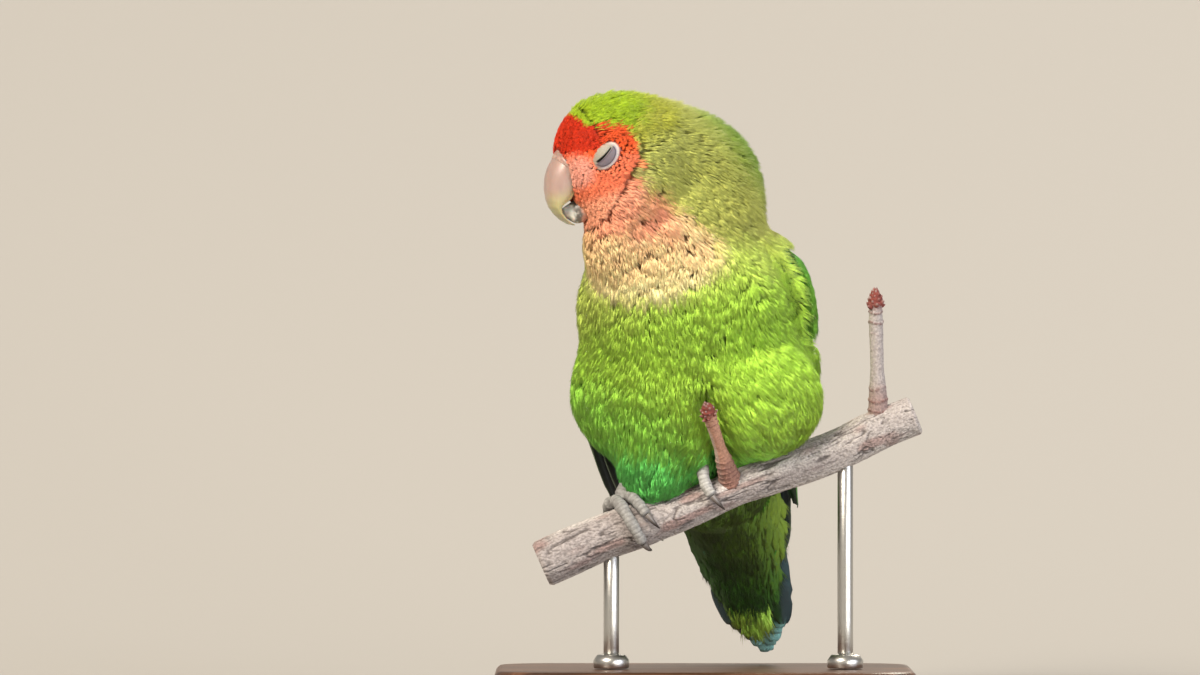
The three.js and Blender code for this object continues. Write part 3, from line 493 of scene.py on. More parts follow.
def castSurface(rows, columns):
    # for each ring and turn, the first place out from the spine where the skin's level is reached
    t = np.linspace(0, 1, rows)
    lift = 2 * t - 1
    climb = pi / 2 * np.sign(lift) * np.abs(lift) ** 1.6
    turn = turnsRound(columns)
    start = curveAt(spine, (t - 0.12) / 0.76)[:, None] + np.zeros((1, columns, 1))
    ray = np.stack(np.broadcast_arrays(
        np.cos(climb)[:, None] * np.cos(turn), np.cos(climb)[:, None] * np.sin(turn),
                                       np.sin(climb)[:, None]), -1)
    low = np.zeros((rows, columns))
    high = np.full((rows, columns), 1.5)
    for _ in range(70):
        inside = skinLevel(start + ray * high[..., None]) < 0
        if not inside.any():
            break
        low = np.where(inside, high, low)
        high = np.where(inside, high + 1.1, high)
    for _ in range(14):
        middle = (low + high) / 2
        inside = skinLevel(start + ray * middle[..., None]) < 0
        low, high = np.where(inside, middle, low), np.where(inside, high, middle)
    return start + ray * low[..., None]


skinGrid = castSurface(skin["rows"], skin["columns"])
skinRings = clearOfPerch(skinGrid, 0.3)
skinPoints = tubePoints(skinRings)
rowShare, columnShare = np.meshgrid(np.linspace(0, 1, skin["rows"]), np.linspace(0, 1, skin["columns"],
        endpoint=False), indexing="ij")
skinMap = np.stack([columnShare, rowShare], -1).reshape(-1, 2)
skinMap = np.concatenate([skinMap, [[0.5, 0], [0.5, 1]]])
skinQuads, skinTriangles = tubeFaces(skin["rows"], skin["columns"])
# the skin under the coat takes the plumage's colours at 0.72: partly the down's own greyer colour, partly
# painted shade between the feathers
addMesh("downy_skin", skinPoints, skinQuads, skinTriangles, downySkin, markings(skinPoints) * 0.72,
        slot="body_feathers", replaces=("head", "neck", "torso"))
print("skin made")


# Bill outline in the head's frame, as (forward, up), which the feathers stop at
bill = {
    "ridge": [(11.5, 9.4), (15.4, 8.4), (18.6, 6.4), (21, 3.9), (22.6, 0.6), (23.2, -2.6), (22.9, -5.2),
              (21.9, -7.8), (20.4, -9.9), (18.8, -11)],
    "edge": [(9.5, -1.5), (12, -1.8), (14, -2.2), (15.6, -3.3), (17.4, -4.4), (19.2, -4.8), (20.6, -5.4),
             (20.9, -6.9), (20, -9.3), (18.7, -10.8)],
    "halfWidth": 5.6, "boxy": 0.55, "rows": 96, "sides": 72,
}
lowerBill = {
    "rim": [(9.5, -3.4), (13, -3.9), (16.5, -4.9), (20.2, -5.7)],
    "keel": [(9.5, -9.3), (13.5, -10.6), (17.8, -10.8), (20.6, -7.8)],
    "halfWidth": 4.0, "rows": 48, "sides": 48,
}
cere = {"start": 0.08, "end": 0.19, "thick": 0.4, "nostrils": (2.3, -15.6, 7.9)}


def insideHorn(p, outer, inner, wide, grow, start):
    # inside a horn between two profiles: the nearest step along it, then across it and from side to side
    head = inHead(p)
    flat = np.stack([-head[..., 1], head[..., 2]], -1)
    found = np.zeros(p.shape[:-1], bool)
    for t in np.linspace(start, 1, 26):
        a, b = curveAt(outer, t), curveAt(inner, t)
        middle, half = (a + b) / 2, (a - b) / 2
        tall = np.hypot(*half)
        across = (flat - middle) @ (half / tall)
        along = np.abs((flat - middle) @ np.array([-half[1], half[0]]) / tall)
        width = wide * np.sqrt(max(1 - t ** 1.7, 0.004)) + grow
        found |= ((across / (tall + grow)) ** 2 + (head[..., 0] / width) ** 2 < 1) & (along < 0.8)
    return found


def inBill(p, grow):
    upper = insideHorn(p, bill["ridge"], bill["edge"], bill["halfWidth"], grow, 0.13)
    return upper | insideHorn(p, lowerBill["rim"], lowerBill["keel"], lowerBill["halfWidth"], grow, 0.2)


# Eyes, shut: where each looks out of the head
eye = {"back": -7.2, "up": 3.3, "rise": 22, "long": 4.05, "tall": 2.85, "slit": 2.8, "lowerSide": -1,
       "bow": 0.35, "aside": -0.45}


def eyePlace(side):
    # a place on the head with the way out, the line between the lids and the way across it
    surface = settled(fromHead([[12.0 * side, eye["back"], eye["up"]]]), 0, passes=5)
    out = outwardAt(surface)[0]
    tail = headTurn @ np.array([0, np.cos(radians(eye["rise"])), np.sin(radians(eye["rise"]))])
    across = unit(np.cross(out, tail))
    return surface[0], unit(np.cross(across, out)), across, out


eyePlaces = {"left": eyePlace(1), "right": eyePlace(-1)}


def eyeShare(p):
    # 1 on the edge of the bare skin round the nearer eye, less inside
    nearest = np.full(p.shape[:-1], 9.0)
    for surface, along, across, out in eyePlaces.values():
        q = p - surface
        share = np.sqrt((q @ along / eye["long"]) ** 2 + (q @ across / eye["tall"]) ** 2 + (q @ out / 6) ** 2)
        nearest = np.minimum(nearest, share)
    return nearest


# Coat of small body feathers: each is a fan of thin barbs, rooted in the skin and lying along the bird
tracts = {
    # spacing, length and width of a feather, width and number of its barbs,
    # how many points they gather in and how much, height of the tips, unevenness
    "face": {"spacing": 0.72, "length": 2.4, "wide": 1.35, "barb": 0.17, "barbs": 15, "points": 2,
             "gather": 0.1, "lift": 0.03, "loose": 0.12},
    "crown": {"spacing": 1.15, "length": 4.4, "wide": 2.0, "barb": 0.2, "barbs": 26, "points": 2,
              "gather": 0.75, "lift": 0.75, "loose": 0.7},
    "neck": {"spacing": 1.7, "length": 5.4, "wide": 3.0, "barb": 0.21, "barbs": 30, "points": 3,
             "gather": 0.55, "lift": 0.2, "loose": 0.4},
    "breast": {"spacing": 2.0, "length": 6.8, "wide": 4.2, "barb": 0.22, "barbs": 42, "points": 3,
               "gather": 0.5, "lift": 0.25, "loose": 0.45},
    "belly": {"spacing": 2.1, "length": 8.2, "wide": 4.8, "barb": 0.23, "barbs": 46, "points": 3,
              "gather": 0.6, "lift": 0.4, "loose": 0.65},
    "back": {"spacing": 2.0, "length": 6.4, "wide": 4.2, "barb": 0.24, "barbs": 34, "points": 4,
             "gather": 0.35, "lift": 0.05, "loose": 0.2},
}
wingPad = {"at": (23, 15, 50), "down": (-2, 5, -22), "across": (-8, 8.5, 4)}


def padShare(p, side):
    # place on the wing as shares down it and across it, from its front edge at -1 to its inner edge at 1
    q = inBody(p) * (side, 1, 1) - np.array(wingPad["at"])
    down, across = np.array(wingPad["down"]), np.array(wingPad["across"])
    return q @ down / (down @ down), q @ across / (across @ across)


def wingShare(p):
    # 1 on the edge of the nearer wing, less inside, and how high the wing stands there
    side = np.where(inBody(p)[..., 0] < 0, -1, 1)[..., None]
    q = inBody(p) * np.concatenate([side, np.ones_like(side), np.ones_like(side)],
                                   -1) - np.array(wingPad["at"])
    down, across = np.array(wingPad["down"]), np.array(wingPad["across"])
    away = np.abs(q @ unit(np.cross(down, across)))
    down, across = q @ down / (down @ down), q @ across / (across @ across)
    share = np.where(down < 0, np.hypot(down * 1.02, across), np.abs(across)) + ramp(down, 1.4,
            2.6) + 2 * ramp(away, 18, 26)
    return share, mixed(4.3, 3.2, ramp(down, 0, 1.5)) * ramp(-share, -1.22, -0.88)


def tractOf(p):
    # which tract a place on the skin belongs to, as a number in the order above
    body, head = inBody(p), inHead(p)
    away = np.linalg.norm(p - flowStart, axis=-1)
    forward, up = -head[..., 1], head[..., 2]
    onFace = ((away < 19) & (forward > -5)) | (eyeShare(p) < 2)
    onCrown = (up > 6.5) & (forward > -16) & (forward < 8.5)
    which = np.where(body[..., 1] > 9, 5, np.where(p[..., 2] > 84, 3, 4))
    which = np.where((p[..., 2] > 108) & ((body[..., 1] < 9) | (p[..., 2] > 118)), 2, which)
    which = np.where(onFace, 0, which)
    return np.where(onCrown, 1, which)


def lieAt(p, out):
    # the way the coat lies: back from the bill on the head, down the body, over the wings' edges, aside at
    # the twig
    away = p - flowStart
    far = np.linalg.norm(away, axis=-1)
    downward = np.maximum(0.4 * ramp(far, 14, 42), ramp(-p[..., 2], -130, -106))
    body = inBody(p)
    share, _ = wingShare(p)
    nearWing = ramp(-share, -2.0, -1.1)
    front = body[..., 1] < 13
    splay = 0.42 * body[..., 0] / 30 * ramp(p[..., 2], 52, 66) * ramp(-p[..., 2], -108, -88)
    splay = splay + np.where(front, 0, 0.55 * np.sign(body[..., 0]) * nearWing)
    backward = 0.1 + 0.1 * ramp(body[..., 1], 0, 15) + np.where(front, 0.75 * nearWing, 0)
    toward = np.stack([splay, backward, -np.ones(len(p))], -1) @ bodyTurn.T
    twig = twigOffset(p)
    near = np.linalg.norm(twig, axis=-1)
    push = 0.7 * np.exp(-(near / 6) ** 2) * (p[..., 1] < -12)
    aside = np.stack([np.sign(twig[..., 0]) * push, np.zeros(len(p)), np.zeros(len(p))], -1)
    way = mixed(unit(away), unit(toward), downward[..., None]) + aside
    for surface, along, across, _ in eyePlaces.values():
        q = p - surface
        radial = unit((q @ along)[:, None] * along / eye["long"] + (q @ across)[:, None] * across
                      / eye["tall"])
        parts = ramp((radial * way).sum(-1), -0.8, 0.3)
        way = mixed(way, radial, (0.85 * parts * ramp(-eyeShare(p), -1.5, -1.0) * (np.linalg.norm(q, axis=-1)
                < 9))[:, None])
    way = unit(way - dot(way, out) * out)
    sway = 0.24 * grainAt(p, 9, 5) + 0.16 * grainAt(p, 3.5, 6)
    side = np.cross(way, out)
    return unit(way * np.cos(sway)[..., None] + side * np.sin(sway)[..., None])


def scattered(spacing, wanted):
    # places spread evenly over the skin: many drawn by area, one kept in each small cube
    corners = skinGrid
    right = np.roll(corners, -1, axis=1)[:-1] - corners[:-1]
    below = corners[1:] - corners[:-1]
    area = np.linalg.norm(np.cross(right, below), axis=-1).ravel()
    count = int(area.sum() / spacing ** 2 * 5)
    cell = draw.choice(len(area), count, p=area / area.sum())
    u, v = draw.random(count), draw.random(count)
    row, column = cell // skin["columns"], cell % skin["columns"]
    p = corners[row, column] + right[row, column] * u[:, None] + below[row, column] * v[:, None]
    keep = wanted(p)
    p, place = p[keep], np.stack([(column + u) / skin["columns"], (row + v) / (skin["rows"] - 1)], -1)[keep]
    cube = np.floor(p / spacing).astype(np.int64)
    code = cube[:, 0] * 1000003 + cube[:, 1] * 1009 + cube[:, 2]
    _, first = np.unique(code, return_index=True)
    return p[first], place[first]


barbPointCount, barbFaceCount, webPointCount, webFaceCount = 5, 6, 14, 24
mostFaces = 190000  # in one piece of the coat


def spindles(start, middle, tip, out, wide, thick):
    # thin closed spindles: a point, three points round the middle and a point
    sideways = unit(np.cross(tip - start, out)) * wide[..., None] / 2
    ring = [start, middle + sideways, middle - sideways, middle + out * thick, tip]
    points = np.stack(ring, -2).reshape(-1, 3)
    faces = np.array([[0, 1, 2], [0, 2, 3], [0, 3, 1], [1, 4, 2], [2, 4, 3], [3, 4, 1]])
    return points, (faces[:, ::-1] + np.arange(len(start.reshape(-1, 3)))[:, None, None]
                    * barbPointCount).reshape(-1, 3)


def leaves(stations, side, out, widths, thick):
    # the web of each feather: a flat closed leaf, with a point at each end and four points round each place
    # between
    rings = [stations[:, :1]]
    for k in range(1, 4):
        at, half = stations[:, k], side * (widths * webShape["widths"][k - 1])[:, None]
        rings.append(np.stack([at + half, at + out * thick, at - half, at - out * thick], 1))
    rings.append(stations[:, -1:])
    points = np.concatenate(rings, 1)
    faces = []
    for j in range(4):
        k = (j + 1) % 4
        faces += [[0, 1 + k, 1 + j], [9 + j, 9 + k, 13]]
        for low in (1, 5):
            faces += [[low + j, low + k, low + 4 + k], [low + j, low + 4 + k, low + 4 + j]]
    faces = np.array(faces) + np.arange(len(points))[:, None, None] * webPointCount
    return points.reshape(-1, 3), faces.reshape(-1, 3)


def raisedAt(p):
    # how far the feathers of the hind crown and nape stand up
    head = inHead(p)
    return 1.8 * ramp(head[..., 1] + 0.3 * head[..., 2], 8, 18) * ramp(p[..., 2], 116, 130)


webShape = {"shares": [-0.12, 0.2, 0.52, 0.78, 0.97], "widths": [0.85, 0.95, 0.62],
            "levels": [-0.3, 0.08, 0.4, 0.6, 0.66]}


def growFeathers(name, size, root, place, out, way, level, depth, rise, slot, hue=None):
    # each feather: a soft web under fine barbs, which gather in a few points of uneven length at its tip
    count, barbs, long = len(root), size["barbs"], size["length"]
    if hue is None:
        hue = markings(root + way * long * 0.65)
    side = np.cross(way, out)
    tone = 1 + draw.normal(0, 0.07, (count, 1))
    lift = size["lift"] * (1 + draw.normal(0, 0.35, (count, 1))) + raisedAt(root)[:, None]
    puff = 0.3 * size["loose"] * grainAt(root, 6, 21)[:, None]
    long = long * (1 - 0.45 * ramp(-eyeShare(root), -1.9, -1.05)) * (1 + draw.normal(0, 0.07, count))
    half = size["wide"] / 2 * (1 + draw.normal(0, 0.08, count)) * (1 - 0.4 * ramp(-eyeShare(root), -2.4,
            -1.2))
    depth = depth[:, None]
    turned = draw.normal(0, 0.1 + 0.1 * size["loose"], count)
    way = way * np.cos(turned)[:, None] + side * np.sin(turned)[:, None]
    side = np.cross(way, out)

    shares = np.array(webShape["shares"])
    web = root[:, None] + way[:, None] * (long[:, None] * shares)[..., None]
    steep = np.max([ramp(rise(web[:, k]), 0.1, 1.2) for k in (0, 2, 4)], 0)[:, None]
    target = np.array(webShape["levels"]) * (depth + puff) + np.clip(shares - 0.3, 0,
            1) * lift * 0.6 - 0.9 * steep
    for _ in range(2):
        web = web - out[:, None] * (level(web) - target - rise(web) * (shares > 0))[..., None]
    web = np.concatenate([web[:, :1], clearOfPerch(web[:, 1:], 0.15)], 1)
    webPoints, webFaces = leaves(web, side, out, half * (1 - 0.9 * steep[:, 0]), 0.06)

    u = np.linspace(-1, 1, barbs) + draw.normal(0, 0.5 / barbs, (count, barbs))
    phase = draw.uniform(-0.5, 0.5, (count, 1))
    point = (np.round(u * size["points"] / 2 + phase) - phase) * 2 / size["points"]
    gather = size["gather"] * (1 + 0.3 * raisedAt(root)[:, None])
    across = mixed(u, point, np.clip(gather * draw.uniform(0.7, 1.15, (count, barbs)), 0, 1.05))
    strand = np.round(u * size["points"] / 2 + phase).astype(int) + 3
    strandLong = draw.normal(0, 0.06 + 0.12 * size["loose"], (count, 8))
    reach = 1 - 0.2 * across ** 2 + np.take_along_axis(strandLong, strand, 1) + draw.normal(0, 0.06,
            (count, barbs))
    origin = mixed(0.0, 0.5, draw.random((count, barbs))) * (1 - 0.4 * np.abs(u))
    onward, aside, outer = way[:, None], side[:, None], out[:, None]
    start = root[:, None] + onward * (origin * long[:, None])[..., None] + aside * (u * half[:, None]
            * 0.45)[..., None]
    tip = root[:, None] + onward * (reach * long[:, None])[..., None] + aside * (across * half[:, None]
            * 1.15)[..., None]
    middle = mixed(start, tip, 0.45)
    middle = middle + aside * (0.12 * (u - across) * half[:, None])[..., None]
    loose = draw.normal(0, 0.08 + 0.12 * size["loose"], (count, barbs))
    body = depth + puff
    for _ in range(2):
        middle = middle - outer * (level(middle) - body * 0.82 - 0.45 * lift - 0.5 * loose
                                   - rise(middle))[..., None]
        tip = tip - outer * (level(tip) - body * 0.93 - lift - loose * 1.6 - rise(tip))[..., None]
    start = start - outer * (level(start) - body * 0.9 * origin - 0.2 * lift - rise(start) * 0.8)[..., None]
    middle, tip = clearOfPerch(middle, 0.25), clearOfPerch(tip, 0.3)
    barbWide = size["barb"] * draw.uniform(0.8, 1.2, (count, barbs))
    barbPoints, barbFaces = spindles(start, middle, tip, outer, barbWide, 0.08)

    colour = (hue * tone)[:, None]
    barbTone = 1 + draw.normal(0, 0.06, (count, barbs)) + 0.25 * np.take_along_axis(strandLong, strand, 1)
    # barbs darker at their roots and lighter at their tips: partly the feathers' own greyer bases and paler
    # tips, partly painted shade between the feathers and a painted highlight on the tips
    shade = np.array([0.75, 0.96, 0.96, 1.0, 1.18])
    barbColours = np.clip((colour * barbTone[..., None])[:, :, None] * shade[:, None], 0, 1).reshape(-1, 3)
    # webs darker towards their roots: painted shade in the gaps under the barbs
    webPaintedShade = np.repeat([0.78, 0.82, 0.88, 0.94, 0.98], [1, 4, 4, 4, 1])
    webColours = np.clip(colour * webPaintedShade[:, None], 0, 1).reshape(-1, 3)
    small = 0.0012
    barbMap = np.stack(np.broadcast_arrays(u[..., None] * small, np.array([-1, 0, 0, 0, 1]) * small), -1)
    webMap = np.stack([[0, *[1, 0, -1, 0] * 3, 0], np.repeat([-1, -0.6, 0, 0.6, 1], [1, 4, 4, 4, 1])], -1)
    barbMap = (place[:, None, None] + barbMap).reshape(-1, 2)
    webMap = (place[:, None] + webMap * small).reshape(-1, 2)
    each = barbs * barbFaceCount + webFaceCount
    parts = int(np.ceil(count * each / mostFaces))
    for part, chosen in enumerate(np.array_split(np.argsort(place[:, 1]), parts)):
        a = (chosen[:, None] * barbs * barbPointCount + np.arange(barbs * barbPointCount)).ravel()
        b = (chosen[:, None] * webPointCount + np.arange(webPointCount)).ravel()
        faces = np.concatenate([barbFaces[:len(chosen) * barbs * barbFaceCount],
                                webFaces[:len(chosen) * webFaceCount] + len(a)])
        label = name + (f"_{part + 1}" if parts > 1 else "")
        addMesh(label, np.concatenate([barbPoints[a], webPoints[b]]), [], faces, softPlumage,
                np.concatenate([barbColours[a], webColours[b]]),
                {"OFBake": np.concatenate([barbMap[a], webMap[b]])}, slot=slot)
    print(name, count, "feathers", count * each, "triangles")


def bodyTract(name, index, size):
    # the feathers of one tract, none of them inside the bill, the eyes, the perch or under a wing
    def wanted(p):
        keep = (tractOf(p) == index) & ~inBill(p, 0.1) & (eyeShare(p) > 0.93) & (wingShare(p)[0] > 0.88)
        body = inBody(p)
        under = (body[..., 2] < 3) & (body[..., 1] > 4) & (body[..., 1] < 24.6 - 0.4 * body[..., 2])
        under = under | ((body[..., 2] < 3) & (body[..., 1] > 4) & (body[..., 0] < -7))
        return keep & ~under & (np.linalg.norm(clearOfPerch(p, 0.1) - p, axis=-1) < 0.05)

    root, place = scattered(size["spacing"], wanted)
    out = outwardAt(root)
    growFeathers("plumage_" + name, size, root, place, out, lieAt(root, out), skinLevel, coatDepth(root),
                 lambda p: wingShare(p)[1], "body_feathers" if index > 1 else "head_feathers")


for index, (tractName, tractSize) in enumerate(tracts.items()):
    bodyTract(tractName, index, tractSize)


# Vanes: thin feathers with a shaft, closed all round
vane = {"rows": 17, "thick": 0.3, "edge": 0.12, "shaft": 0.16, "blunt": 0.72, "camber": 0.35}
vaneAcross = np.array([-1, -0.86, -0.62, -0.35, -0.1, 0, 0.1, 0.35, 0.62, 0.86, 1])
vaneAlong = 1 - (1 - np.linspace(0, 1, vane["rows"])) ** 1.35


def vaneWidth(t):
    # share of the width: widens slowly from the root, then rounds off to the tip
    body = mixed(0.55, 1, np.sqrt(np.clip(t / vane["blunt"], 0, 1)))
    end = np.sqrt(np.clip(1 - ((t - vane["blunt"]) / (1.02 - vane["blunt"])) ** 2, 0.02, 1))
    return np.where(t < vane["blunt"], body, end)


def vaneEdges(count):
    # half widths as shares, uneven at the edges where barbs have parted
    wide = np.broadcast_to(vaneWidth(vaneAlong)[None, :, None] * vaneAcross,
                           (count, vane["rows"], len(vaneAcross))).copy()
    split = (draw.random(wide.shape) < 0.14) & (np.abs(vaneAcross) > 0.8) & (vaneAlong[None, :, None] > 0.25)
    return wide * np.where(split, 0.8, 1) * (1 + draw.normal(0, 0.02, wide.shape))


def vaneMesh(under, colours):
    # a grid of points (count, rows, columns, 3) for the underside becomes two faces and a rim, thickest at
    # the shaft
    count, rows, columns = under.shape[:3]
    along, across = np.gradient(under, axis=1), np.gradient(under, axis=2)
    out = unit(np.cross(across, along))
    thick = mixed(vane["edge"], vane["thick"], np.clip(1 - vaneAcross ** 2, 0, 1))
    thick = thick + vane["shaft"] * np.exp(-(vaneAcross / 0.07) ** 2)
    points = np.concatenate([under, under + out * thick[:, None]], axis=1).reshape(-1, 3)
    grid = gridFaces(rows, columns)
    top = rows * columns
    i, j = np.arange(rows) * columns, np.arange(columns)
    loop = np.concatenate([j[:-1], i[:-1] + columns - 1, (rows - 1) * columns + j[:0:-1], i[:0:-1]])
    after = np.roll(loop, -1)
    rim = np.stack([loop, after, after + top, loop + top], -1)
    faces = np.concatenate([grid[:, ::-1], grid + top, rim])
    quads = (faces + (np.arange(count) * top * 2)[:, None, None]).reshape(-1, 4)
    return points, quads, np.concatenate([colours, colours], axis=1).reshape(-1, 3)


def vaneMaps(count, long, wide):
    # barb lines slant from the shaft towards the tip; the bake map gives each vane a cell of its own
    shape = (count, 2 * vane["rows"], len(vaneAcross))
    along = np.concatenate([vaneAlong, vaneAlong])[None, :, None] * np.reshape(long, (-1, 1, 1))
    across = np.abs(vaneAcross) * np.reshape(wide, (-1, 1, 1)) / 2
    slanted = (along - 1.3 * across) * 0.6 + np.arange(count)[:, None, None] * 0.37
    barbs = np.stack([np.broadcast_to(vaneAcross, shape), np.broadcast_to(slanted, shape)], -1)
    side = int(np.ceil(np.sqrt(count)))
    cell = np.stack([np.arange(count) % side, np.arange(count) // side], -1)[:, None, None]
    inner = np.stack(np.broadcast_arrays(0.5 + 0.45 * vaneAcross[None],
                                         0.05 + 0.9 * np.concatenate([vaneAlong, vaneAlong])[:, None]), -1)
    return {"barbs": barbs.reshape(-1, 2), "OFBake": ((cell + inner) / side).reshape(-1, 2)}


def drapedVanes(root, tip, height, width, slope, sink=0, hangs=False):
    # each vane's middle line settled over the bird, then its edges, one a little higher so that neighbours
    # overlap
    count = len(root)
    height = np.reshape(height, (-1, 1)) - sink * ramp(-vaneAlong, -0.75, 0)
    middle = mixed(root[:, None], tip[:, None], vaneAlong[None, :, None])
    laid = settled(middle, height, drapeForms)
    if hangs:
        laid = np.where((levelAt(middle, drapeForms) < height)[..., None], laid, middle)
    middle = laid
    out = outwardAt(middle, drapeForms)
    side = unit(np.cross(unit(np.gradient(middle, axis=1)), out))
    offset = vaneEdges(count) * np.reshape(width, (-1, 1, 1)) / 2
    points = middle[:, :, None] + side[:, :, None] * offset[..., None]
    camber = vane["camber"] * (1 - vaneAcross ** 2)
    over = height[..., None] + np.reshape(slope, (-1, 1, 1)) * offset + camber
    if hangs:
        over = np.maximum(over, levelAt(middle, drapeForms)[..., None] + np.reshape(slope, (-1, 1, 1))
                          * offset + camber)
    return settled(points, over, drapeForms, passes=3)


def shaded(base, edge, tip, count, shaft=0.75):
    # colours of a vane: paler edges and tip, darker shaft, each feather a little different
    a, t = np.abs(vaneAcross)[None, None, :, None], vaneAlong[None, :, None, None]
    colour = mixed(toLinear(base), toLinear(edge), ramp(a, 0.72, 1.0))
    colour = mixed(colour, toLinear(tip), ramp(t, 0.86, 1.0))
    colour = colour * mixed(1, shaft, np.exp(-(a / 0.1) ** 2)) * mixed(0.7, 1, ramp(t, 0, 0.5))
    return np.clip(colour * (1 + draw.normal(0, 0.06, (count, 1, 1, 1))), 0, 1)


# Wings: tiers of vanes on the body's left side, outer feather first; the right wing is its mirror
wingTiers = [
    {"name": "primary", "count": 9, "rightRoots": [(33, 2, 32), (12, 28, 14)], "rightTips": [(26, 13, -1),
            (10, 33, 2)], "height": 1.6, "width": 6.2, "slope": 0.22, "roots": [(18, 21.5, 31), (12, 28, 14)],
                    "shaft": 5,
     "tips": [(-1, 41.5, -28), (6, 36, -9)], "base": "#22272a", "edge": "#75806c", "tip": "#2d3436"},
    {"name": "secondary", "count": 9, "height": 2.3, "width": 7, "slope": 0.22,
     "roots": [(25, 16, 34), (11, 25, 38)],
     "tips": [(14, 29, 2), (4, 32, 9)], "base": "#2f7026", "edge": "#4f9a35", "tip": "#3b4a34"},
    {"name": "greater covert", "count": 9, "height": 3.0, "width": 6.6, "slope": 0.2,
     "roots": [(27, 11, 43), (12, 25, 49)],
     "tips": [(24, 20, 24), (7, 30, 31)], "base": "#3f8a28", "edge": "#69b03c", "tip": "#5aa335"},
    {"name": "middle covert", "count": 9, "height": 3.6, "width": 6, "slope": 0.2,
     "roots": [(28, 9, 54), (13, 22, 59)],
     "tips": [(27, 14, 39), (11, 27, 45)], "base": "#46932a", "edge": "#6fb63e", "tip": "#62ab38"},
    {"name": "lesser covert", "count": 9, "height": 4.0, "width": 5.4, "slope": 0.2,
     "roots": [(27.5, 7.5, 60), (14.5, 19, 65)],
     "tips": [(28, 11, 47), (13, 24, 52)], "sink": 1, "base": "#4c9a2c", "edge": "#5fa838", "tip": "#5aa336"},
    {"name": "shoulder", "count": 9, "height": 3.9, "width": 4.8, "slope": 0.2,
     "roots": [(26, 5.5, 66), (15, 16, 71)],
     "tips": [(28, 8.5, 54), (14, 21, 59)], "sink": 2.5, "base": "#509d2d", "edge": "#62aa3a",
     "tip": "#5ca538"},
    {"name": "upper shoulder", "count": 8, "height": 3.0, "width": 4.4, "slope": 0.2,
     "roots": [(23, 4.5, 71), (14.5, 13, 76)],
     "tips": [(27, 7, 60), (14, 18.5, 65)], "sink": 3, "base": "#549f2e", "edge": "#64ac3b",
     "tip": "#5ea739"},
]


def wingPiece(name, side):
    points, faces, colours, longs, widths, start = [], [], [], [], [], 0
    for tier in wingTiers:
        count = tier["count"]
        t = np.linspace(0, 1, count)[:, None]
        hangs = side < 0 and "rightRoots" in tier
        ends = (tier["rightRoots"], tier["rightTips"]) if hangs else (tier["roots"], tier["tips"])
        root, tip = [mixed(np.array(a, float), np.array(b, float), t) for a, b in ends]
        tip = tip + draw.normal(0, 0.5, tip.shape)
        root, tip = fromBody(root * (side, 1, 1)), fromBody(tip * (side, 1, 1))
        width = tier["width"] * draw.uniform(0.94, 1.06, count)
        height = tier["height"] - (1.3 * (1 - t[:, 0]) ** 2 if tier["height"] > 2.9 else 0)
        under = drapedVanes(root, tip, height, width, tier["slope"] * side, tier.get("sink", 0), hangs)
        p, q, c = vaneMesh(under, shaded(tier["base"], tier["edge"], tier["tip"], count,
                                         tier.get("shaft", 0.75)))
        points.append(p)
        faces.append(q + start)
        colours.append(c)
        longs.append(np.linalg.norm(tip - root, axis=1))
        widths.append(width)
        start += len(p)
    maps = vaneMaps(sum(tier["count"] for tier in wingTiers), np.concatenate(longs), np.concatenate(widths))
    addMesh("wing_feathers_" + name, np.concatenate(points), np.concatenate(faces), [], vaneKeratin,
            np.concatenate(colours), maps, slot="wing_feathers", replaces=("wing_" + name,))


wingPiece("left", 1)
wingPiece("right", -1)
shoulder = {"spacing": 1.8, "length": 5.6, "wide": 3.8, "barb": 0.23, "barbs": 30, "points": 3,
            "gather": 0.35, "lift": 0.1, "loose": 0.25}


def shoulderCoat(name, side):
    # small feathers over the bend of the wing and its upper coverts, which thin out downwards
    step = shoulder["spacing"]
    a, b = [g.ravel() for g in np.meshgrid(np.arange(-14, 14, step), np.arange(-23, 2, step))]
    a, b = [g + draw.uniform(-0.5, 0.5, g.shape) * step for g in (a, b)]
    across, down = a / 12.4, b / 22.6
    share = np.where(down < 0, np.hypot(down, across), np.abs(across))
    keep = (share < 1) & (draw.random(len(a)) < ramp(-down, -0.12, 0.4))
    across, down = across[keep, None], down[keep, None]
    local = np.array(wingPad["at"]) + np.array(wingPad["down"]) * down + np.array(wingPad["across"]) * across
    top = 4.3 * ramp(-np.hypot(down, across)[:, 0], -1.12, -0.6)
    root = settled(fromBody(local * (side, 1, 1)), top - 0.5, drapeForms)
    out = outwardAt(root, drapeForms)
    way = bodyTurn @ (np.array(wingPad["down"]) * (side, 1, 1)) + np.zeros((len(root), 3))
    way = unit(way - dot(way, out) * out)

    def level(p):
        down, across = padShare(p, side)
        high = 4.3 * ramp(-np.where(down < 0, np.hypot(down, across), np.abs(across)), -1.12, -0.6)
        return levelAt(p, drapeForms) - high + 0.5

    place = np.stack([0.5 + 0.4 * across[:, 0], 0.5 + 0.4 * down[:, 0]], -1)
    hue = mixed(plumageLight["wing"], plumageLight["flank"], 0.35 * ramp(-across, 0.2, 0.9)
                + np.zeros((len(root), 3)))
    growFeathers("plumage_wing_" + name, shoulder, root, place, out, way, level, np.full(len(root), 0.9),
                 lambda p: 0 * p[..., 0], "wing_feathers", hue)


shoulderCoat("left", 1)
shoulderCoat("right", -1)
print("wings made")


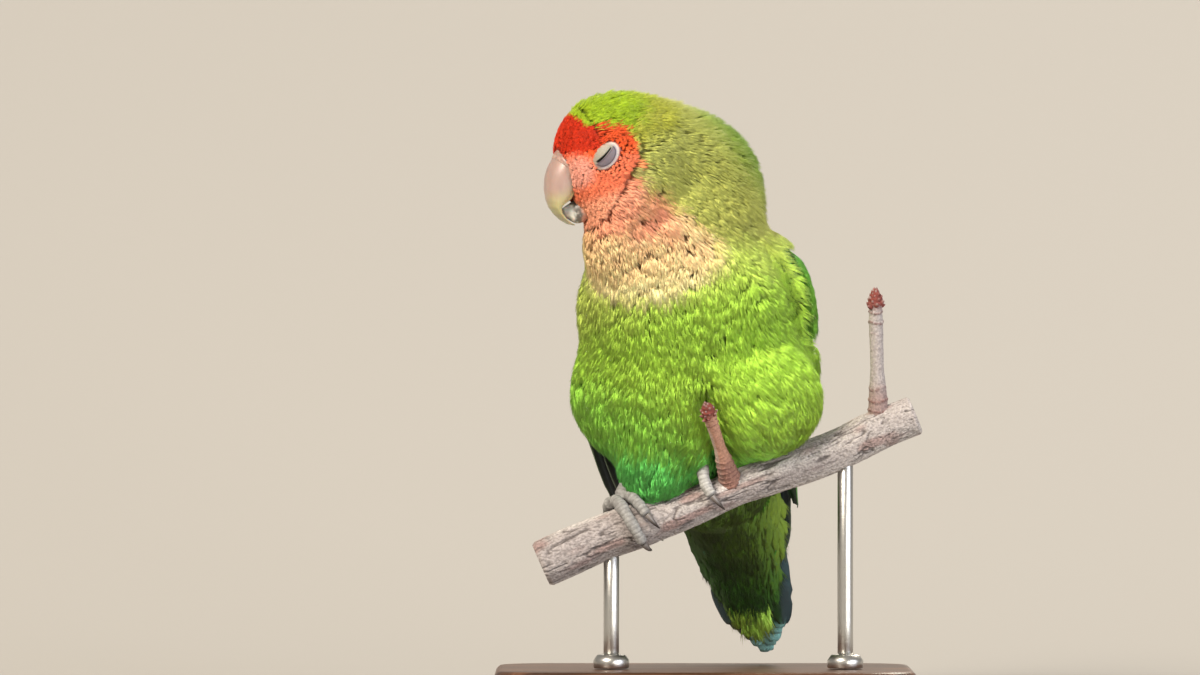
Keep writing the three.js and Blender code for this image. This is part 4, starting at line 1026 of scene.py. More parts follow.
# Tail: flight feathers and coverts in its own frame, x to the bird's left, -y to its underside, -z to the tip
tailPlace = {"at": (1.3, 24, 4), "pitch": 22}
tailAt, tailTurn = fromBody(tailPlace["at"]), bodyTurn @ turning(pitch=tailPlace["pitch"])
tailSets = [
    # feathers, level, length, width, spacing, fan in degrees, drop of level and length per feather out, start
    {"name": "flight", "count": 12, "level": 1.24, "long": 45, "width": 7, "apart": 1.7, "fan": -0.6,
     "layer": -0.62, "step": 1.9, "start": 0},
    {"name": "over", "count": 7, "level": 1.7, "long": 26, "width": 7, "apart": 2.1, "fan": -1, "layer": -0.1,
     "step": 2, "start": 2},
    {"name": "under", "count": 7, "level": -3.5, "long": 31, "width": 7.2, "apart": 2.5, "fan": -1.7,
     "layer": 0.25, "step": 2, "start": 3},
    {"name": "under short", "count": 7, "level": -4.7, "long": 21, "width": 7, "apart": 2.8, "fan": -2,
     "layer": 0.3, "step": 1.6, "start": 4},
]


def tailColours(kind, k, count):
    t, a = vaneAlong[None, :, None], vaneAcross[None, None, :]
    edge = np.abs(k)[:, None, None]
    if kind != "flight":
        ends = {"over": ("#2d93a6", "#3fa7ae", "#4bb0a8"), "under": ("#2f6e24", "#3f852b", "#4a9030"),
                "under short": ("#3a812b", "#489131", "#559b36")}
        return shaded(*ends[kind], count, 0.85)
    # dull is the painted shade colour for the tips of the outer feathers on the left
    green, slate, black, tip, dull = [toLinear(c) for c in ("#3b7030", "#33535a", "#15191a", "#93d2d0",
                                                            "#46564a")]
    outer = ramp(a * np.sign(k)[:, None, None] + 0.12 * edge, 0.3, 0.9)
    colour = mixed(green, slate, outer[..., None])
    ragged = 0.015 * np.sin(9 * a + 3 * edge)
    band = ramp(t + ragged, 0.68, 0.76) * ramp(edge, 0, 1)
    colour = mixed(colour, black, (0.4 * band)[..., None])
    down = t * (tailSets[0]["long"] - tailSets[0]["step"] * edge)
    end = ramp(down + 45 * ragged - 2 * a * a, 33.6, 35)
    # the tips of the outer feathers on the left are painted dull and dark: painted shade over that side
    outOfPaintedShade = ramp(k, -3.2, -1.8)[:, None, None]
    colour = mixed(colour, mixed(dull, tip, outOfPaintedShade[..., None]), end[..., None])
    margin = ramp(np.abs(a), 0.93, 1.0) * ramp(t, 0.3, 0.5)
    colour = mixed(colour, black, (0.6 * margin)[..., None])
    return np.clip(colour * (1 + draw.normal(0, 0.05, (count, 1, 1, 1))), 0, 1)


def tailPiece():
    points, faces, colours, longs, widths, start, total = [], [], [], [], [], 0, 0
    for feathers in tailSets:
        count = feathers["count"]
        k = np.arange(count) - (count - 1) / 2
        edge = np.abs(k)
        long = feathers["long"] - edge * feathers["step"] + draw.normal(0, 0.25, count)
        level = feathers["level"] + edge * feathers["layer"]
        down = -mixed(-feathers["start"], long[:, None], vaneAlong[None])
        across = vaneEdges(count) * feathers["width"] / 2
        lean = np.sin(np.radians(k * feathers["fan"]))[:, None] * long[:, None] * vaneAlong[None]
        x = (k[:, None] * feathers["apart"] + lean)[..., None] + across
        bow = -0.35 * vaneAcross ** 2 * (1 if feathers["level"] > 0 else -1)
        y = level[:, None, None] + 0.12 * np.sign(k)[:, None, None] * across * (1 if feathers["level"] > 0
                else -1) - bow
        local = np.stack(np.broadcast_arrays(x, y, down[..., None]), -1)
        p, q, c = vaneMesh(local @ tailTurn.T + tailAt, tailColours(feathers["name"], k, count))
        points.append(p)
        faces.append(q + start)
        colours.append(c)
        longs.append(long)
        widths.append(np.full(count, feathers["width"]))
        start += len(p)
        total += count
    maps = vaneMaps(total, np.concatenate(longs), np.concatenate(widths))
    addMesh("tail_feathers", np.concatenate(points), np.concatenate(faces), [], vaneKeratin,
            np.concatenate(colours), maps,
            slot="tail_feathers", replaces=("tail",))


tailPiece()
undertail = {"spacing": 1.6, "length": 8.4, "wide": 3.8, "barb": 0.2, "barbs": 44, "points": 4, "gather": 0.4,
             "lift": 0.2, "loose": 0.5}
undertailEdges = {"down": [-31, -24, -18, -10, 0, 6], "right": [2, 7, 10.5, 13, 13, 12],
                  "left": [2.2, 5, 8, 11, 13.3, 14.3]}


def undertailCoat():
    # soft long coverts under the tail, on a surface that arches across it and thins towards the tip
    def arch(x, z):
        return np.interp(z, [-31, -16, -10, -4, 4], [4.2, 6.2, 8.2, 9.6, 10.2]) - np.where(x < 0, 0.026,
                0.035) * x ** 2

    def level(p):
        q = (p - tailAt) @ tailTurn
        return -q[..., 1] - arch(q[..., 0], q[..., 2])

    step = undertail["spacing"]
    x, z = [g.ravel() for g in np.meshgrid(np.arange(-14, 16, step), np.arange(-31, 6.5, step))]
    x, z = [g + draw.uniform(-0.5, 0.5, g.shape) * step for g in (x, z)]
    right, left = [np.interp(z, undertailEdges["down"], undertailEdges[side]) for side in ("right", "left")]
    keep = (x > -right) & (x < left)
    x, z = x[keep], z[keep]
    root = np.stack([x, -arch(x, z), z], -1) @ tailTurn.T + tailAt
    out = np.array([0, -1.0, 0]) @ tailTurn.T + np.zeros((len(x), 3))
    way = unit(np.stack([-0.012 * x, 0 * x, -np.ones(len(x))], -1)) @ tailTurn.T
    place = np.stack([0.5 + x / 30, 0.5 + z / 60], -1)
    # hues across the coverts from dark olive on the left to yellow-green on the right: painted shade over the
    # left side
    paintedShadeHues = np.array([toLinear(c) for c in ("#42581c", "#506d22", "#60802a", "#8ba83e")])
    hue = np.stack([np.interp(x, [-10, 0, 8, 13], paintedShadeHues[:, k]) for k in range(3)], -1)
    # darker green towards the tip and the left: painted shade
    hue = mixed(hue, toLinear("#3d7022"), ramp(-z - 0.6 * x + 2 * grainAt(root, 3, 9), 2, 22)[:, None])
    # paler lime at the coverts' ends: partly their own yellower green, partly painted light, a bright pool
    # over them
    hue = mixed(hue, toLinear("#c8ff68"), ramp(-z, 24, 26)[:, None])
    growFeathers("plumage_undertail", undertail, root, place, out, way, level, np.full(len(x), 0.5),
                 lambda p: 0 * p[..., 0], "tail_feathers", hue)


undertailCoat()
print("tail made")


# Bill: horn between two profiles, an ellipse at each step, wide at the root
def hornRings(size, outer, inner, start=0.0, end=1.0, grow=0.0, rows=None):
    t = np.linspace(start, end, rows or size["rows"])
    a, b = curveAt(outer, t), curveAt(inner, t)
    middle, half = (a + b) / 2, (a - b) / 2
    tall = np.linalg.norm(half, axis=1, keepdims=True)
    wide = size["halfWidth"] * np.sqrt(np.maximum(1 - t ** 1.7, 0.004)) + grow
    turn = turnsRound(size["sides"])
    bulge = np.sign(np.cos(turn)) * np.abs(np.cos(turn)) ** np.where(np.cos(turn) < 0, size.get("boxy", 1), 1)
    lift = bulge[None, :, None] * ((tall + grow) * half / tall)[:, None]
    forward = middle[:, None, 0] + lift[..., 0]
    up = middle[:, None, 1] + lift[..., 1]
    return np.stack([wide[:, None] * np.sin(turn), -forward, up], -1), t, turn


# bill horn: translucent keratin in thin growth layers, which glows softly and shines along the ridge
billHorn = addMarked("bill_horn", 1.6, 0.93, 1.05, 0.06, (1, 1, 0.35), Roughness=0.36, IOR=1.54,
                     Subsurface_Weight=0.25, Subsurface_Scale=0.0015)


def billPiece():
    local, t, turn = hornRings(bill, bill["ridge"], bill["edge"])
    below = np.abs((turn + pi) % (2 * pi) - pi)
    rim = np.exp(-((below - 2.25) / 0.13) ** 2)[None] * ramp(t, 0.2, 0.3)[:, None]
    inside = (ramp(below, 2.35, 2.6)[None] * ramp(t, 0.2, 0.3)[:, None])
    layers = 0.03 * np.sin(t[:, None] * 70 + 2 * np.cos(turn)) * ramp(t, 0.2, 0.5)[:, None]
    local[..., 1] -= layers
    rings = fromHead(local)
    points = tubePoints(rings)
    head = inHead(points)
    forward, up = -head[..., 1], head[..., 2]
    low = ramp(-up + 0.8 * grainAt(points, 3, 7), -1, 5)[:, None]
    colour = mixed(toLinear("#a1877e"), toLinear("#aea676"), low)
    colour = mixed(colour, toLinear("#a3948b"), 0.6 * ramp(forward + 0.3 * up, 21.8, 23.6)[:, None])
    colour = mixed(colour, toLinear("#b8b59a"), 0.7 * ramp(-up, 6.5, 10)[:, None])
    edge, dark = [np.concatenate([share.ravel(), [0, 0]])[:, None] for share in (rim, inside)]
    colour = mixed(colour, toLinear("#e8e0a4"), edge * 0.9)
    # the horn's underside, inside the gape, is painted dark: painted shade in the line of the mouth
    colour = mixed(colour, toLinear("#4a3c33"), dark * 0.8)
    addTube("upper_bill_horn", rings, billHorn, colour, "bill_horn", "upper_bill")

    local, t, turn = hornRings(lowerBill, lowerBill["rim"], lowerBill["keel"])
    rings = fromHead(local)
    points = tubePoints(rings)
    grey = ramp(grainAt(points, 1.4, 8), -0.3, 0.5)[:, None]
    colour = mixed(toLinear("#cccbc4"), toLinear("#eeede4"), grey)
    head = inHead(points)
    rear = -head[..., 1] + 0.2 * head[..., 2] + 0.5 * grainAt(head, 1.1, 19)
    flecks = ramp(grainAt(head, 0.45, 22), 0.15, 0.6)
    # dark at the rear: partly dark bristles at the bill's root, partly painted shade; dark along the top
    # edge: painted shade in the gap under the upper bill
    dark = ramp(-rear, -17.4, -16.4) * mixed(1, 0.45, flecks)
    rim = np.concatenate([np.exp(-((np.abs((turn + pi) % (2 * pi) - pi)) / 0.22) ** 2)[None].repeat(len(t),
            0).ravel(), [0, 0]])
    colour = mixed(colour, toLinear("#3a302c"), np.clip(0.85 * dark + 0.8 * rim, 0, 1)[:, None])
    colour = mixed(colour, toLinear("#cf9c88"), ramp(-rear, -15.2, -14.4)[:, None])
    addTube("lower_bill_horn", rings, billHorn, colour, "bill_horn", "lower_bill")


def cerePiece():
    # soft waxy skin over the bill's root, rounded at both edges, with a pit for each nostril
    local, t, turn = hornRings(bill, bill["ridge"], bill["edge"], cere["start"], cere["end"], 0.0, 22)
    swell = np.sin(pi * (t - cere["start"]) / (cere["end"] - cere["start"])) ** 0.5
    full, _, _ = hornRings(bill, bill["ridge"], bill["edge"], cere["start"], cere["end"], cere["thick"], 22)
    local = mixed(local - 0.02, full, swell[:, None, None])
    x, y, z = cere["nostrils"]
    for side in (-1, 1):
        off = local - np.array([side * x, y, z])
        near = np.linalg.norm(off, axis=-1, keepdims=True)
        local = local + np.array([0, 0.9, -0.5]) * np.exp(-(near / 0.75) ** 2)
    rings = fromHead(local)
    head = inHead(tubePoints(rings))
    pit = sum(np.exp(-(np.linalg.norm(head - np.array([side * x, y + 0.5, z - 0.3]), axis=-1) / 0.7) ** 2)
              for side in (-1, 1))
    colour = mixed(toLinear("#b3968c"), toLinear("#94766c"), ramp(grainAt(head, 0.5, 17), -0.4, 0.5)[:, None])
    # the nostril pits are painted dark: painted shade in the holes
    colour = mixed(colour, toLinear("#4a3733"), np.clip(pit, 0, 1)[:, None])
    addTube("cere_skin", rings, billHorn, colour, "cere_skin", "cere")


billPiece()
cerePiece()
print("bill made")


# Lids: a shallow dome of bare skin over each eye, with a beaded rim and the dark line between the lids
# bare skin: fine, dry and matt, with tiny wrinkles round the eye
lidSkin = addMarked("eyelid_skin", 0.35, 0.9, 1.06, 0.05, Roughness=0.55, Subsurface_Weight=0.15,
                    Subsurface_Scale=0.0008)


def lidPiece(name):
    # heights over the head on a disc: a low dome, a beaded rim, and a groove bent along the line between the
    # lids
    surface, along, across, out = eyePlaces[name]
    rows, columns = 64, 120
    share = np.concatenate([np.linspace(1.25, 1.08, 6), np.linspace(1.06, 0.004, rows - 6)])[:, None]
    turn = turnsRound(columns)[None]
    x, y = share * eye["long"] * np.cos(turn), share * eye["tall"] * np.sin(turn)
    inner = np.clip(1 - share ** 2, 0, 1)
    beads = 0.5 + 0.5 * np.cos(turn * 34 + 0.6 * np.sin(turn * 5))
    behind = ramp(np.cos(turn) * 0.7 + np.sin(turn) * eye["lowerSide"], -0.5, 0.3)
    ring = np.exp(-((share - 0.96) / 0.03) ** 2) * mixed(0.35, 0.85, behind)
    height = -0.45 + 0.95 * inner ** 0.6 + ring * (0.03 + 0.09 * beads) - 1.2 * ramp(share, 0.98, 1.2)
    bent = (y + eye["bow"] * (1 - (x / eye["slit"]) ** 2) + eye["aside"]) * eye["lowerSide"]
    within = ramp(-np.abs(x + 0.1), -eye["slit"] - 0.2, -eye["slit"] + 0.7)
    slit = np.exp(-(bent / mixed(0.3, 0.15, ramp(x, -2, 1.5))) ** 2) * within
    lower = ramp(bent, 0.1, 0.35) * ramp(-share, -0.93, -0.86)
    lines = np.exp(-((share - 0.76) / 0.035) ** 2) * lower + 0.5 * np.exp(-((bent - 0.55) / 0.1)
            ** 2) * lower * within
    height = height - 0.6 * slit - 0.08 * lines + 0.14 * np.exp(-((np.abs(bent) - 0.36) / 0.2) ** 2) * within
    p = surface + x[..., None] * along + y[..., None] * across + height[..., None] * out
    for _ in range(3):
        p = p - out * (levelAt(p) - height)[..., None]
    colour = mixed(toLinear("#8f8b7e"), toLinear("#6a6068"), lower[..., None])
    colour = tinted(colour, "#b3aaae", 0.8 * ramp(share, 0.78, 0.86) * behind)
    colour = tinted(colour, "#352d33", 0.8 * lines)
    colour = tinted(colour, "#b9907c", 0.6 * ramp(share, 0.7, 0.95) * (1 - behind))
    colour = tinted(colour, "#dfd5b8", np.clip(ring * (0.35 + 0.7 * beads), 0, 1))
    # the groove between the lids is painted near black: painted shade in place of a gap
    colour = tinted(colour, "#171312", np.clip(slit * 1.6, 0, 1))
    colour = mixed(colour, toLinear("#c9796a"), ramp(share, 1.0, 1.06)[..., None] + 0 * colour)
    colour = np.concatenate([colour.reshape(-1, 3), [toLinear("#c9796a"), toLinear("#b5b0ae")]])
    addTube("eyelids_" + name, p, lidSkin, colour, "lid_skin", "lids_" + name)


def eyeballMaterial():
    # a bird's dark eye: a wet, clear cornea over a near black iris
    material, tree, shader = addMaterial("wet_eyeball", Roughness=0.08, IOR=1.38, Coat_Weight=0.6,
                                         Coat_Roughness=0.03)
    place = addNode(tree, "TexCoord").outputs["Object"]
    noise = addNode(tree, "TexNoise", {"Vector": place, "Scale": 900, "Detail": 3})
    iris = addNode(tree, "Mix", {0: noise.outputs["Fac"], 6: rgba("#140c09"), 7: rgba("#33231a")},
                   data_type="RGBA")
    tree.links.new(iris.outputs[2], shader.inputs["Base Color"])
    return material


lidPiece("left")
lidPiece("right")
wetEye = eyeballMaterial()
for nodeName in ("eye_left", "eye_right"):
    bpy.data.objects[nodeName].material_slots[0].material = wetEye
print("lids made")


# Feet: toes wrapped over the perch as tubes with scales across them, each ending in a claw
feet = {
    # where each foot stands along X, which way its toes are numbered, its tint, and the toes that are held
    # differently; the tint is painted shade, much darker on the right foot as if in the bird's shadow
    "right": {"x": -18.9, "turn": 1, "tint": 0.68, "changed": {}},
    "left": {"x": 0.4, "turn": -1, "tint": 0.93, "changed": {
        2: {"slot": 0.1, "reach": 20, "splay": 1.5, "claw": 10},
        3: {"slot": -3.65, "reach": 84, "splay": 2, "aside": 2.8, "bow": -1.15, "raise": 3},
    }},
}
toes = [
    # digit, way round the perch, place along it, how far it splays, reach in degrees, radius
    {"digit": 1, "way": -1, "slot": -2.6, "splay": -2.5, "reach": 78, "radius": 1.5},
    {"digit": 2, "way": 1, "slot": 1.75, "splay": 2.9, "reach": 74, "radius": 1.55},
    {"digit": 3, "way": 1, "slot": -1.75, "splay": 3.4, "reach": 124, "radius": 1.6},
    {"digit": 4, "way": -1, "slot": 2.4, "splay": 2.6, "reach": 108, "radius": 1.6},
]
toeShape = {"start": 4, "lift": 0.35, "claw": 30, "aside": 0.6, "scale": 1.05, "rows": 110, "sides": 40}
leg = {"radius": 2.0, "rise": 14, "lean": (4.5, 5)}


def overPerch(foot, toe, degrees, height):
    # places so many degrees from the perch's top towards its front or back, this far off it
    turn = np.radians(degrees)
    share = degrees / toe["reach"]
    x = foot["x"] + (toe["slot"] + toe["splay"] * share) * foot["turn"] + toe.get("bow", 0) * np.sin(pi
            * np.clip(share, 0, 1))
    height = height + toe.get("raise", 0) * ramp(-share, -0.8, 0)
    centre, _, upward, radius = perchPlace(x)
    off = upward * np.cos(turn)[:, None] + np.array([0, -toe["way"], 0]) * np.sin(turn)[:, None]
    return centre + off * (radius + height)[:, None], off


def sweptRings(centres, out, radii, sides, flat=1.0):
    # circles across a path; the first point of each is on its outer side
    along = unit(np.gradient(centres, axis=0))
    out = unit(out - dot(out, along) * along)
    side = np.cross(along, out)
    turn = turnsRound(sides)
    around = out[:, None] * np.cos(turn)[None, :, None] + side[:, None] * np.sin(turn)[None, :, None] * flat
    return centres[:, None] + around * radii[..., None], turn


# foot skin: dry grey scales with darker seams between them
footSkin = addMarked("scaly_foot_skin", 0.5, 0.86, 1.1, 0.12, Roughness=0.7)
# claw horn: smooth dark keratin with a dull shine, paler at its root
clawHorn = addMarked("claw_horn", 0.6, 0.9, 1.08, 0.04, (1, 1, 0.4), Roughness=0.35, IOR=1.54)


def scaledTube(centres, out, radii, long, sides, wide, tint=1.0):
    # scales: rings that step up towards the tip on the outer side, small pads underneath
    place = np.linspace(0, long, len(centres))[:, None]
    turn = turnsRound(sides)[None]
    topside = ramp(np.cos(turn), -0.2, 0.5)
    phase = place / toeShape["scale"] % 1
    plate = (0.5 - np.abs(phase - 0.42)) * 2
    seam = ramp(-phase, -0.14, 0) + ramp(phase, 0.9, 1)
    small = np.sin(place * 7.5) * np.sin(turn * 9) * (1 - topside)
    rings, _ = sweptRings(centres, out, radii * (1 + 0.035 * plate * topside - 0.035 * seam * topside + 0.03
                                                 * small), sides, wide)
    blots = ramp(grainAt(rings, 0.8, 23) + 0.6 * grainAt(rings, 0.4, 24), -0.5, 0.7)
    grey = mixed(toLinear("#93918f"), toLinear("#bcbbb8"), (0.3 * plate + 0.6 * blots)[..., None])
    colour = mixed(grey, toLinear("#7f7b78"), (0.6 * seam * topside)[..., None])
    # times the foot's tint: painted shade, darker on a foot in the bird's shadow
    colour = mixed(colour, toLinear("#73706d"), (0.4 * (1 - topside) * (small > 0))[..., None]) * tint
    colour = np.concatenate([colour.reshape(-1, 3), colour[0].mean(0)[None], colour[-1].mean(0)[None]])
    return rings, colour


def toePieces(side, foot):
    for toe in toes:
        toe = {**toe, **foot["changed"].get(toe["digit"], {})}
        reach = toe["reach"]
        t = np.linspace(0, 1, toeShape["rows"])
        degrees = mixed(toeShape["start"], reach, t)
        centres, out = overPerch(foot, toe, degrees, toe["radius"] * 1.14 + toeShape["lift"] + 0 * t)
        joints = 1 + 0.06 * np.cos(t * pi * 2 * 3)
        ends = np.sqrt(np.clip(1 - (np.clip(np.abs(t - 0.5) * 2 - 0.86, 0, 1) / 0.145) ** 2, 0.02, 1))
        radii = (toe["radius"] * mixed(1.05, 0.84, t) * joints * ends)[:, None]
        long = np.linalg.norm(np.diff(centres, axis=0), axis=1).sum()
        rings, colour = scaledTube(centres, out, radii, long, toeShape["sides"], 1.0, foot["tint"])
        label = f"{side}_{toe['digit']}"
        addTube("toe_skin_" + label, rings, footSkin, colour, "foot_skin", "toe_" + label)
        t = np.linspace(0, 1, 36)
        degrees = reach + 1.5 + (toe.get("claw", toeShape["claw"]) + 2.7) * t
        centres, out = overPerch(foot, toe, degrees, toe["radius"] * mixed(1.25, 0.75, t * t)
                                 + toeShape["lift"])
        centres[:, 0] += toe.get("aside", toeShape["aside"]) * t
        radii = (mixed(1.02, 0.16, t ** 1.3) * np.sqrt(np.clip(1 - (t - 0.02) ** 12, 0.05, 1)))[:, None]
        rings, _ = sweptRings(centres, out, radii + np.zeros((1, 24)), 24, 0.82)
        colour = mixed(toLinear("#77706c"), toLinear("#332c2a"), ramp(t, 0.05, 0.75)[:, None, None]
                       + np.zeros((1, 24, 3)))
        colour = np.concatenate([colour.reshape(-1, 3), colour[0, :1], colour[-1, :1]])
        addTube("claw_horn_" + label, rings, clawHorn, colour, "claw_horn", "claw_" + label)
    centre, _, upward, radius = perchPlace(np.array([foot["x"]]))
    ankle = centre[0] + upward[0] * (radius[0] + 1.5)
    t = np.linspace(0, 1, 60)
    centres = ankle + np.array([*leg["lean"], leg["rise"]]) * t[:, None]
    radii = np.interp(t, [0, 0.12, 0.35, 0.6, 0.85, 1], np.array([1.2, 1.45, 1.1, 1.05, 1.2, 1.3])
                      * leg["radius"] * 0.85)
    rings, colour = scaledTube(centres, np.array([0, -1.0, 0]) + 0 * centres, radii[:, None], leg["rise"], 36,
                               1.0, foot["tint"])
    addTube("leg_skin_" + side, rings, footSkin, colour, "foot_skin", "leg_" + side)


for side, foot in feet.items():
    toePieces(side, foot)
print("feet made")


# Perch: a branch with furrowed bark, two snags of twig and sawn ends
# weathered bark: dry grey plates with dark furrows and reddish inner bark, dull all over
bark = addMarked("weathered_bark", 0.6, 0.66, 1.2, 0.3, detail=8, Roughness=0.88)
barkColours = {name: toLinear(value) for name, value in {
    "plate": "#a39b99", "pale": "#cdc6c2", "furrow": "#4a4240", "red": "#8f6861", "snag": "#b98b76",
                                                         "scar": "#6b4640", "bud": "#7a3a32",
                                                         "wood": "#c7a983",
}.items()}


def barkRelief(place, turn, girth):
    # furrows that run along the branch and wander round it: folded noise on a stretched, wrapped lattice
    ring = np.stack(np.broadcast_arrays(place / 4.5, np.cos(turn) * girth, np.sin(turn) * girth), -1)
    wander = 0.8 * grainAt(ring * (3, 1, 1), 2.2, 11)
    ring = ring + wander[..., None] * 0.4
    broken = ramp(grainAt(ring * (1.5, 1, 1), 1.6, 18), -0.45, 0.2)
    coarse = (1 - np.abs(grainAt(ring, 1.35, 12))) * mixed(0.85, 1, broken)
    fine = 1 - np.abs(grainAt(ring * (1.8, 1, 1), 0.42, 13))
    lumps = grainAt(ring * (0.35, 1, 1), 3.2, 14)
    return coarse, fine, lumps


def branchPart():
    rows, sides = perch["rows"], perch["sides"]
    t = np.linspace(0, 1, rows)
    centres = curveAt(perch["line"], t)
    radii = perchPlace(centres[:, 0])[3]
    turn = turnsRound(sides)[None]
    long = np.linalg.norm(np.diff(centres, axis=0), axis=1).sum()
    place = (t * long)[:, None]
    coarse, fine, lumps = barkRelief(place, turn, 6.0)
    knots = 0
    for at, angle, size in ((34, 1.9, 3.2), (71, 4.4, 3.6), (88, 0.9, 2.8), (62, 1.4, 2.2)):
        around = (turn - angle + pi) % (2 * pi) - pi
        knots = knots + np.exp(-((place - at) / size) ** 2 - (around * 6 / size) ** 2)
    relief = 0.28 * lumps + 0.5 * knots - 0.5 * ramp(coarse, 0.86, 1) - 0.2 * ramp(fine, 0.75, 1)
    end = np.minimum(t, 1 - t)[:, None] * long
    relief = relief - 0.7 * ramp(-end, -0.7, 0)
    rings, _ = sweptRings(centres, np.array([0, 0, 1.0]) + 0 * centres, radii[:, None] + relief * 0.8, sides)
    deep = np.clip(0.9 * ramp(coarse, 0.84, 0.97) + 0.6 * ramp(fine, 0.72, 0.95), 0, 1)
    colour = mixed(barkColours["plate"], barkColours["pale"], ramp(lumps + 0.5 * fine, -0.1, 1.0)[..., None])
    reddish = ramp(grainAt(np.stack(np.broadcast_arrays(place / 3, np.cos(turn) * 6, np.sin(turn) * 6), -1),
                           2.6, 15), 0.05, 0.6)
    colour = mixed(colour, barkColours["red"], (0.55 * reddish)[..., None])
    colour = mixed(colour, barkColours["furrow"], (0.85 * deep)[..., None])
    faces = [endPart(rings[0], centres[0], centres[0] - centres[1]), endPart(rings[-1], centres[-1],
            centres[-1] - centres[-2])]
    return [(rings.reshape(-1, 3), gridFaces(rows, sides, True), [], colour.reshape(-1, 3))] + faces


def endPart(ring, centre, way):
    # a sawn end: rings of wood inside the bark's own last ring, dished a little, with year rings
    share = np.linspace(1, 0.02, 26)[:, None]
    way = unit(way)
    dish = -0.25 * ramp(1 - share, 0.02, 0.25) + 0.05 * grainAt(np.stack([share * 9, share * 0, share * 0],
            -1), 0.5, 16)
    p = centre + (ring - centre) * share[..., None] + way * dish[..., None]
    angle = turnsRound(ring.shape[0])[None]
    years = 0.5 + 0.5 * np.sin(share * 42 + 0.5 * np.sin(angle * 3))
    colour = mixed(barkColours["wood"], barkColours["wood"] * 0.62, (years * 0.7)[..., None])
    colour = mixed(colour, barkColours["furrow"], ramp(share + 0 * angle, 0.9, 0.97)[..., None])
    points = np.concatenate([p.reshape(-1, 3), (centre + way * dish[-1])[None]])
    j = np.arange(ring.shape[0])
    last = (len(share) - 1) * ring.shape[0]
    fan = np.stack([last + j, last + (j + 1) % ring.shape[0], np.full(ring.shape[0], len(points) - 1)], -1)
    return points, gridFaces(len(share), ring.shape[0], True), fan, np.concatenate([colour.reshape(-1, 3),
            barkColours["wood"][None]])


snags = [
    {"start": (6.6, -15, 55.2), "end": (0.1, -33.5, 75), "thick": (2.5, 1.5), "bud": 2.1, "scars": 15,
     "tint": "snag"},
    {"start": (44.6, -13.5, 68), "end": (43.5, -17, 104), "thick": (2.8, 1.75), "bud": 2.2, "scars": 12,
     "tint": "plate"},
]


def snagParts(snag):
    # a twig whose old bud scars stand up as rings, crowded at its root and its top, where a cluster of buds
    # sits
    rows, sides = 190, 56
    t = np.linspace(0, 1, rows)
    start, end = np.array(snag["start"], float), np.array(snag["end"], float)
    long = np.linalg.norm(end - start)
    centres = start + (end - start) * t[:, None]
    thick = snag["thick"]
    radii = np.interp(t, [0, 0.1, 0.2, 0.3, 0.45, 0.62, 0.78, 0.86, 0.94, 1],
                      [thick[0] * 1.25, thick[0], thick[0] * 0.9, thick[0] * 0.8, thick[1], thick[1] * 1.02,
                       thick[1] * 1.05, snag["bud"] * 0.78, snag["bud"] * 0.8, snag["bud"] * 0.4])
    turn = turnsRound(sides)[None]
    crowd = t + 0.07 * np.sin(2 * pi * t)
    wave = crowd[:, None] * snag["scars"] + 0.12 * np.sin(turn * 2 + 9 * t[:, None])
    scar = np.exp(-((wave % 1 - 0.5) / 0.13) ** 2) * mixed(0.08, 1, ramp(np.abs(t - 0.52), 0.14,
            0.26))[:, None]
    coarse, fine, lumps = barkRelief(t[:, None] * long, turn, 2.4)
    relief = 0.26 * scar + 0.1 * lumps - 0.12 * ramp(fine, 0.75, 1)
    out = np.array([0, -1.0, 0]) if abs(end[2] - start[2]) > abs(end[1] - start[1]) * 1.5 else np.array([1.0,
            0, 0])
    rings, _ = sweptRings(centres, out + 0 * centres, radii[:, None] + relief, sides)
    colour = mixed(barkColours[snag["tint"]], barkColours["pale"], (0.5 * ramp(lumps, 0, 0.8))[..., None])
    colour = mixed(colour, barkColours["red"] * 0.8, (0.6 * ramp(-t, -0.4, -0.22))[:, None, None] + 0
                   * colour)
    colour = mixed(colour, barkColours["scar"], (0.8 * scar * ramp(fine, 0.2, 0.8))[..., None])
    colour = mixed(colour, barkColours["bud"], ramp(t, 0.84, 0.93)[:, None, None] + 0 * colour)
    quads, triangles = tubeFaces(rows, sides)
    parts = [(tubePoints(rings), quads, triangles, np.concatenate([colour.reshape(-1, 3), colour[0, :1],
            colour[-1, :1]]))]
    way = unit(end - start)
    for i in range(30):
        # buds: pointed drops set round the top in a spiral, leaning outwards
        share, angle = i / 29, i * 2.4
        lean = mixed(1.25, 0.1, share)
        side = unit(np.cross(way, np.array([np.cos(angle), np.sin(angle), 0.3])))
        axis = unit(way * np.cos(lean) + side * np.sin(lean))
        at = end - way * mixed(4.2, 0.4, share) + side * snag["bud"] * mixed(0.75, 0.12, share)
        size = snag["bud"] * draw.uniform(0.26, 0.36)
        s = np.linspace(0, 1, 12)
        profile = size * np.sqrt(np.clip(np.sin(pi * s ** 0.8), 0.002, 1)) * mixed(1, 0.55, s)
        p = at + axis * (s[:, None] * size * 2.6 - size * 0.6)
        budRings, _ = sweptRings(p, np.cross(axis, side) + 0 * p, profile[:, None] + np.zeros((1, 12)), 12)
        tint = mixed(barkColours["bud"], barkColours["pale"] * 0.8,
                     (ramp(s, 0.55, 1) * draw.uniform(0.1, 0.6))[:, None, None] + np.zeros((1, 12, 3)))
        q, tri = tubeFaces(12, 12)
        parts.append((tubePoints(budRings), q, tri,
                      np.concatenate([tint.reshape(-1, 3), tint[0, :1], tint[-1, :1]])))
    return parts


branch = branchPart()
for snag in snags:
    branch += snagParts(snag)
addMesh("weathered_perch", *merged(branch)[:3], bark, merged(branch)[3], slot="bark", replaces=("perch",))
print("perch made")


# Stand: a wooden base, two steel rods and a collar round the foot of each
stand = {"width": 108, "depth": 78, "thick": 7, "corner": 14, "bevel": 1.2, "rod": 2, "collar": 4.6,
         "high": 3.5, "gap": 0.3, "rods": {"low": -24, "high": 36}}


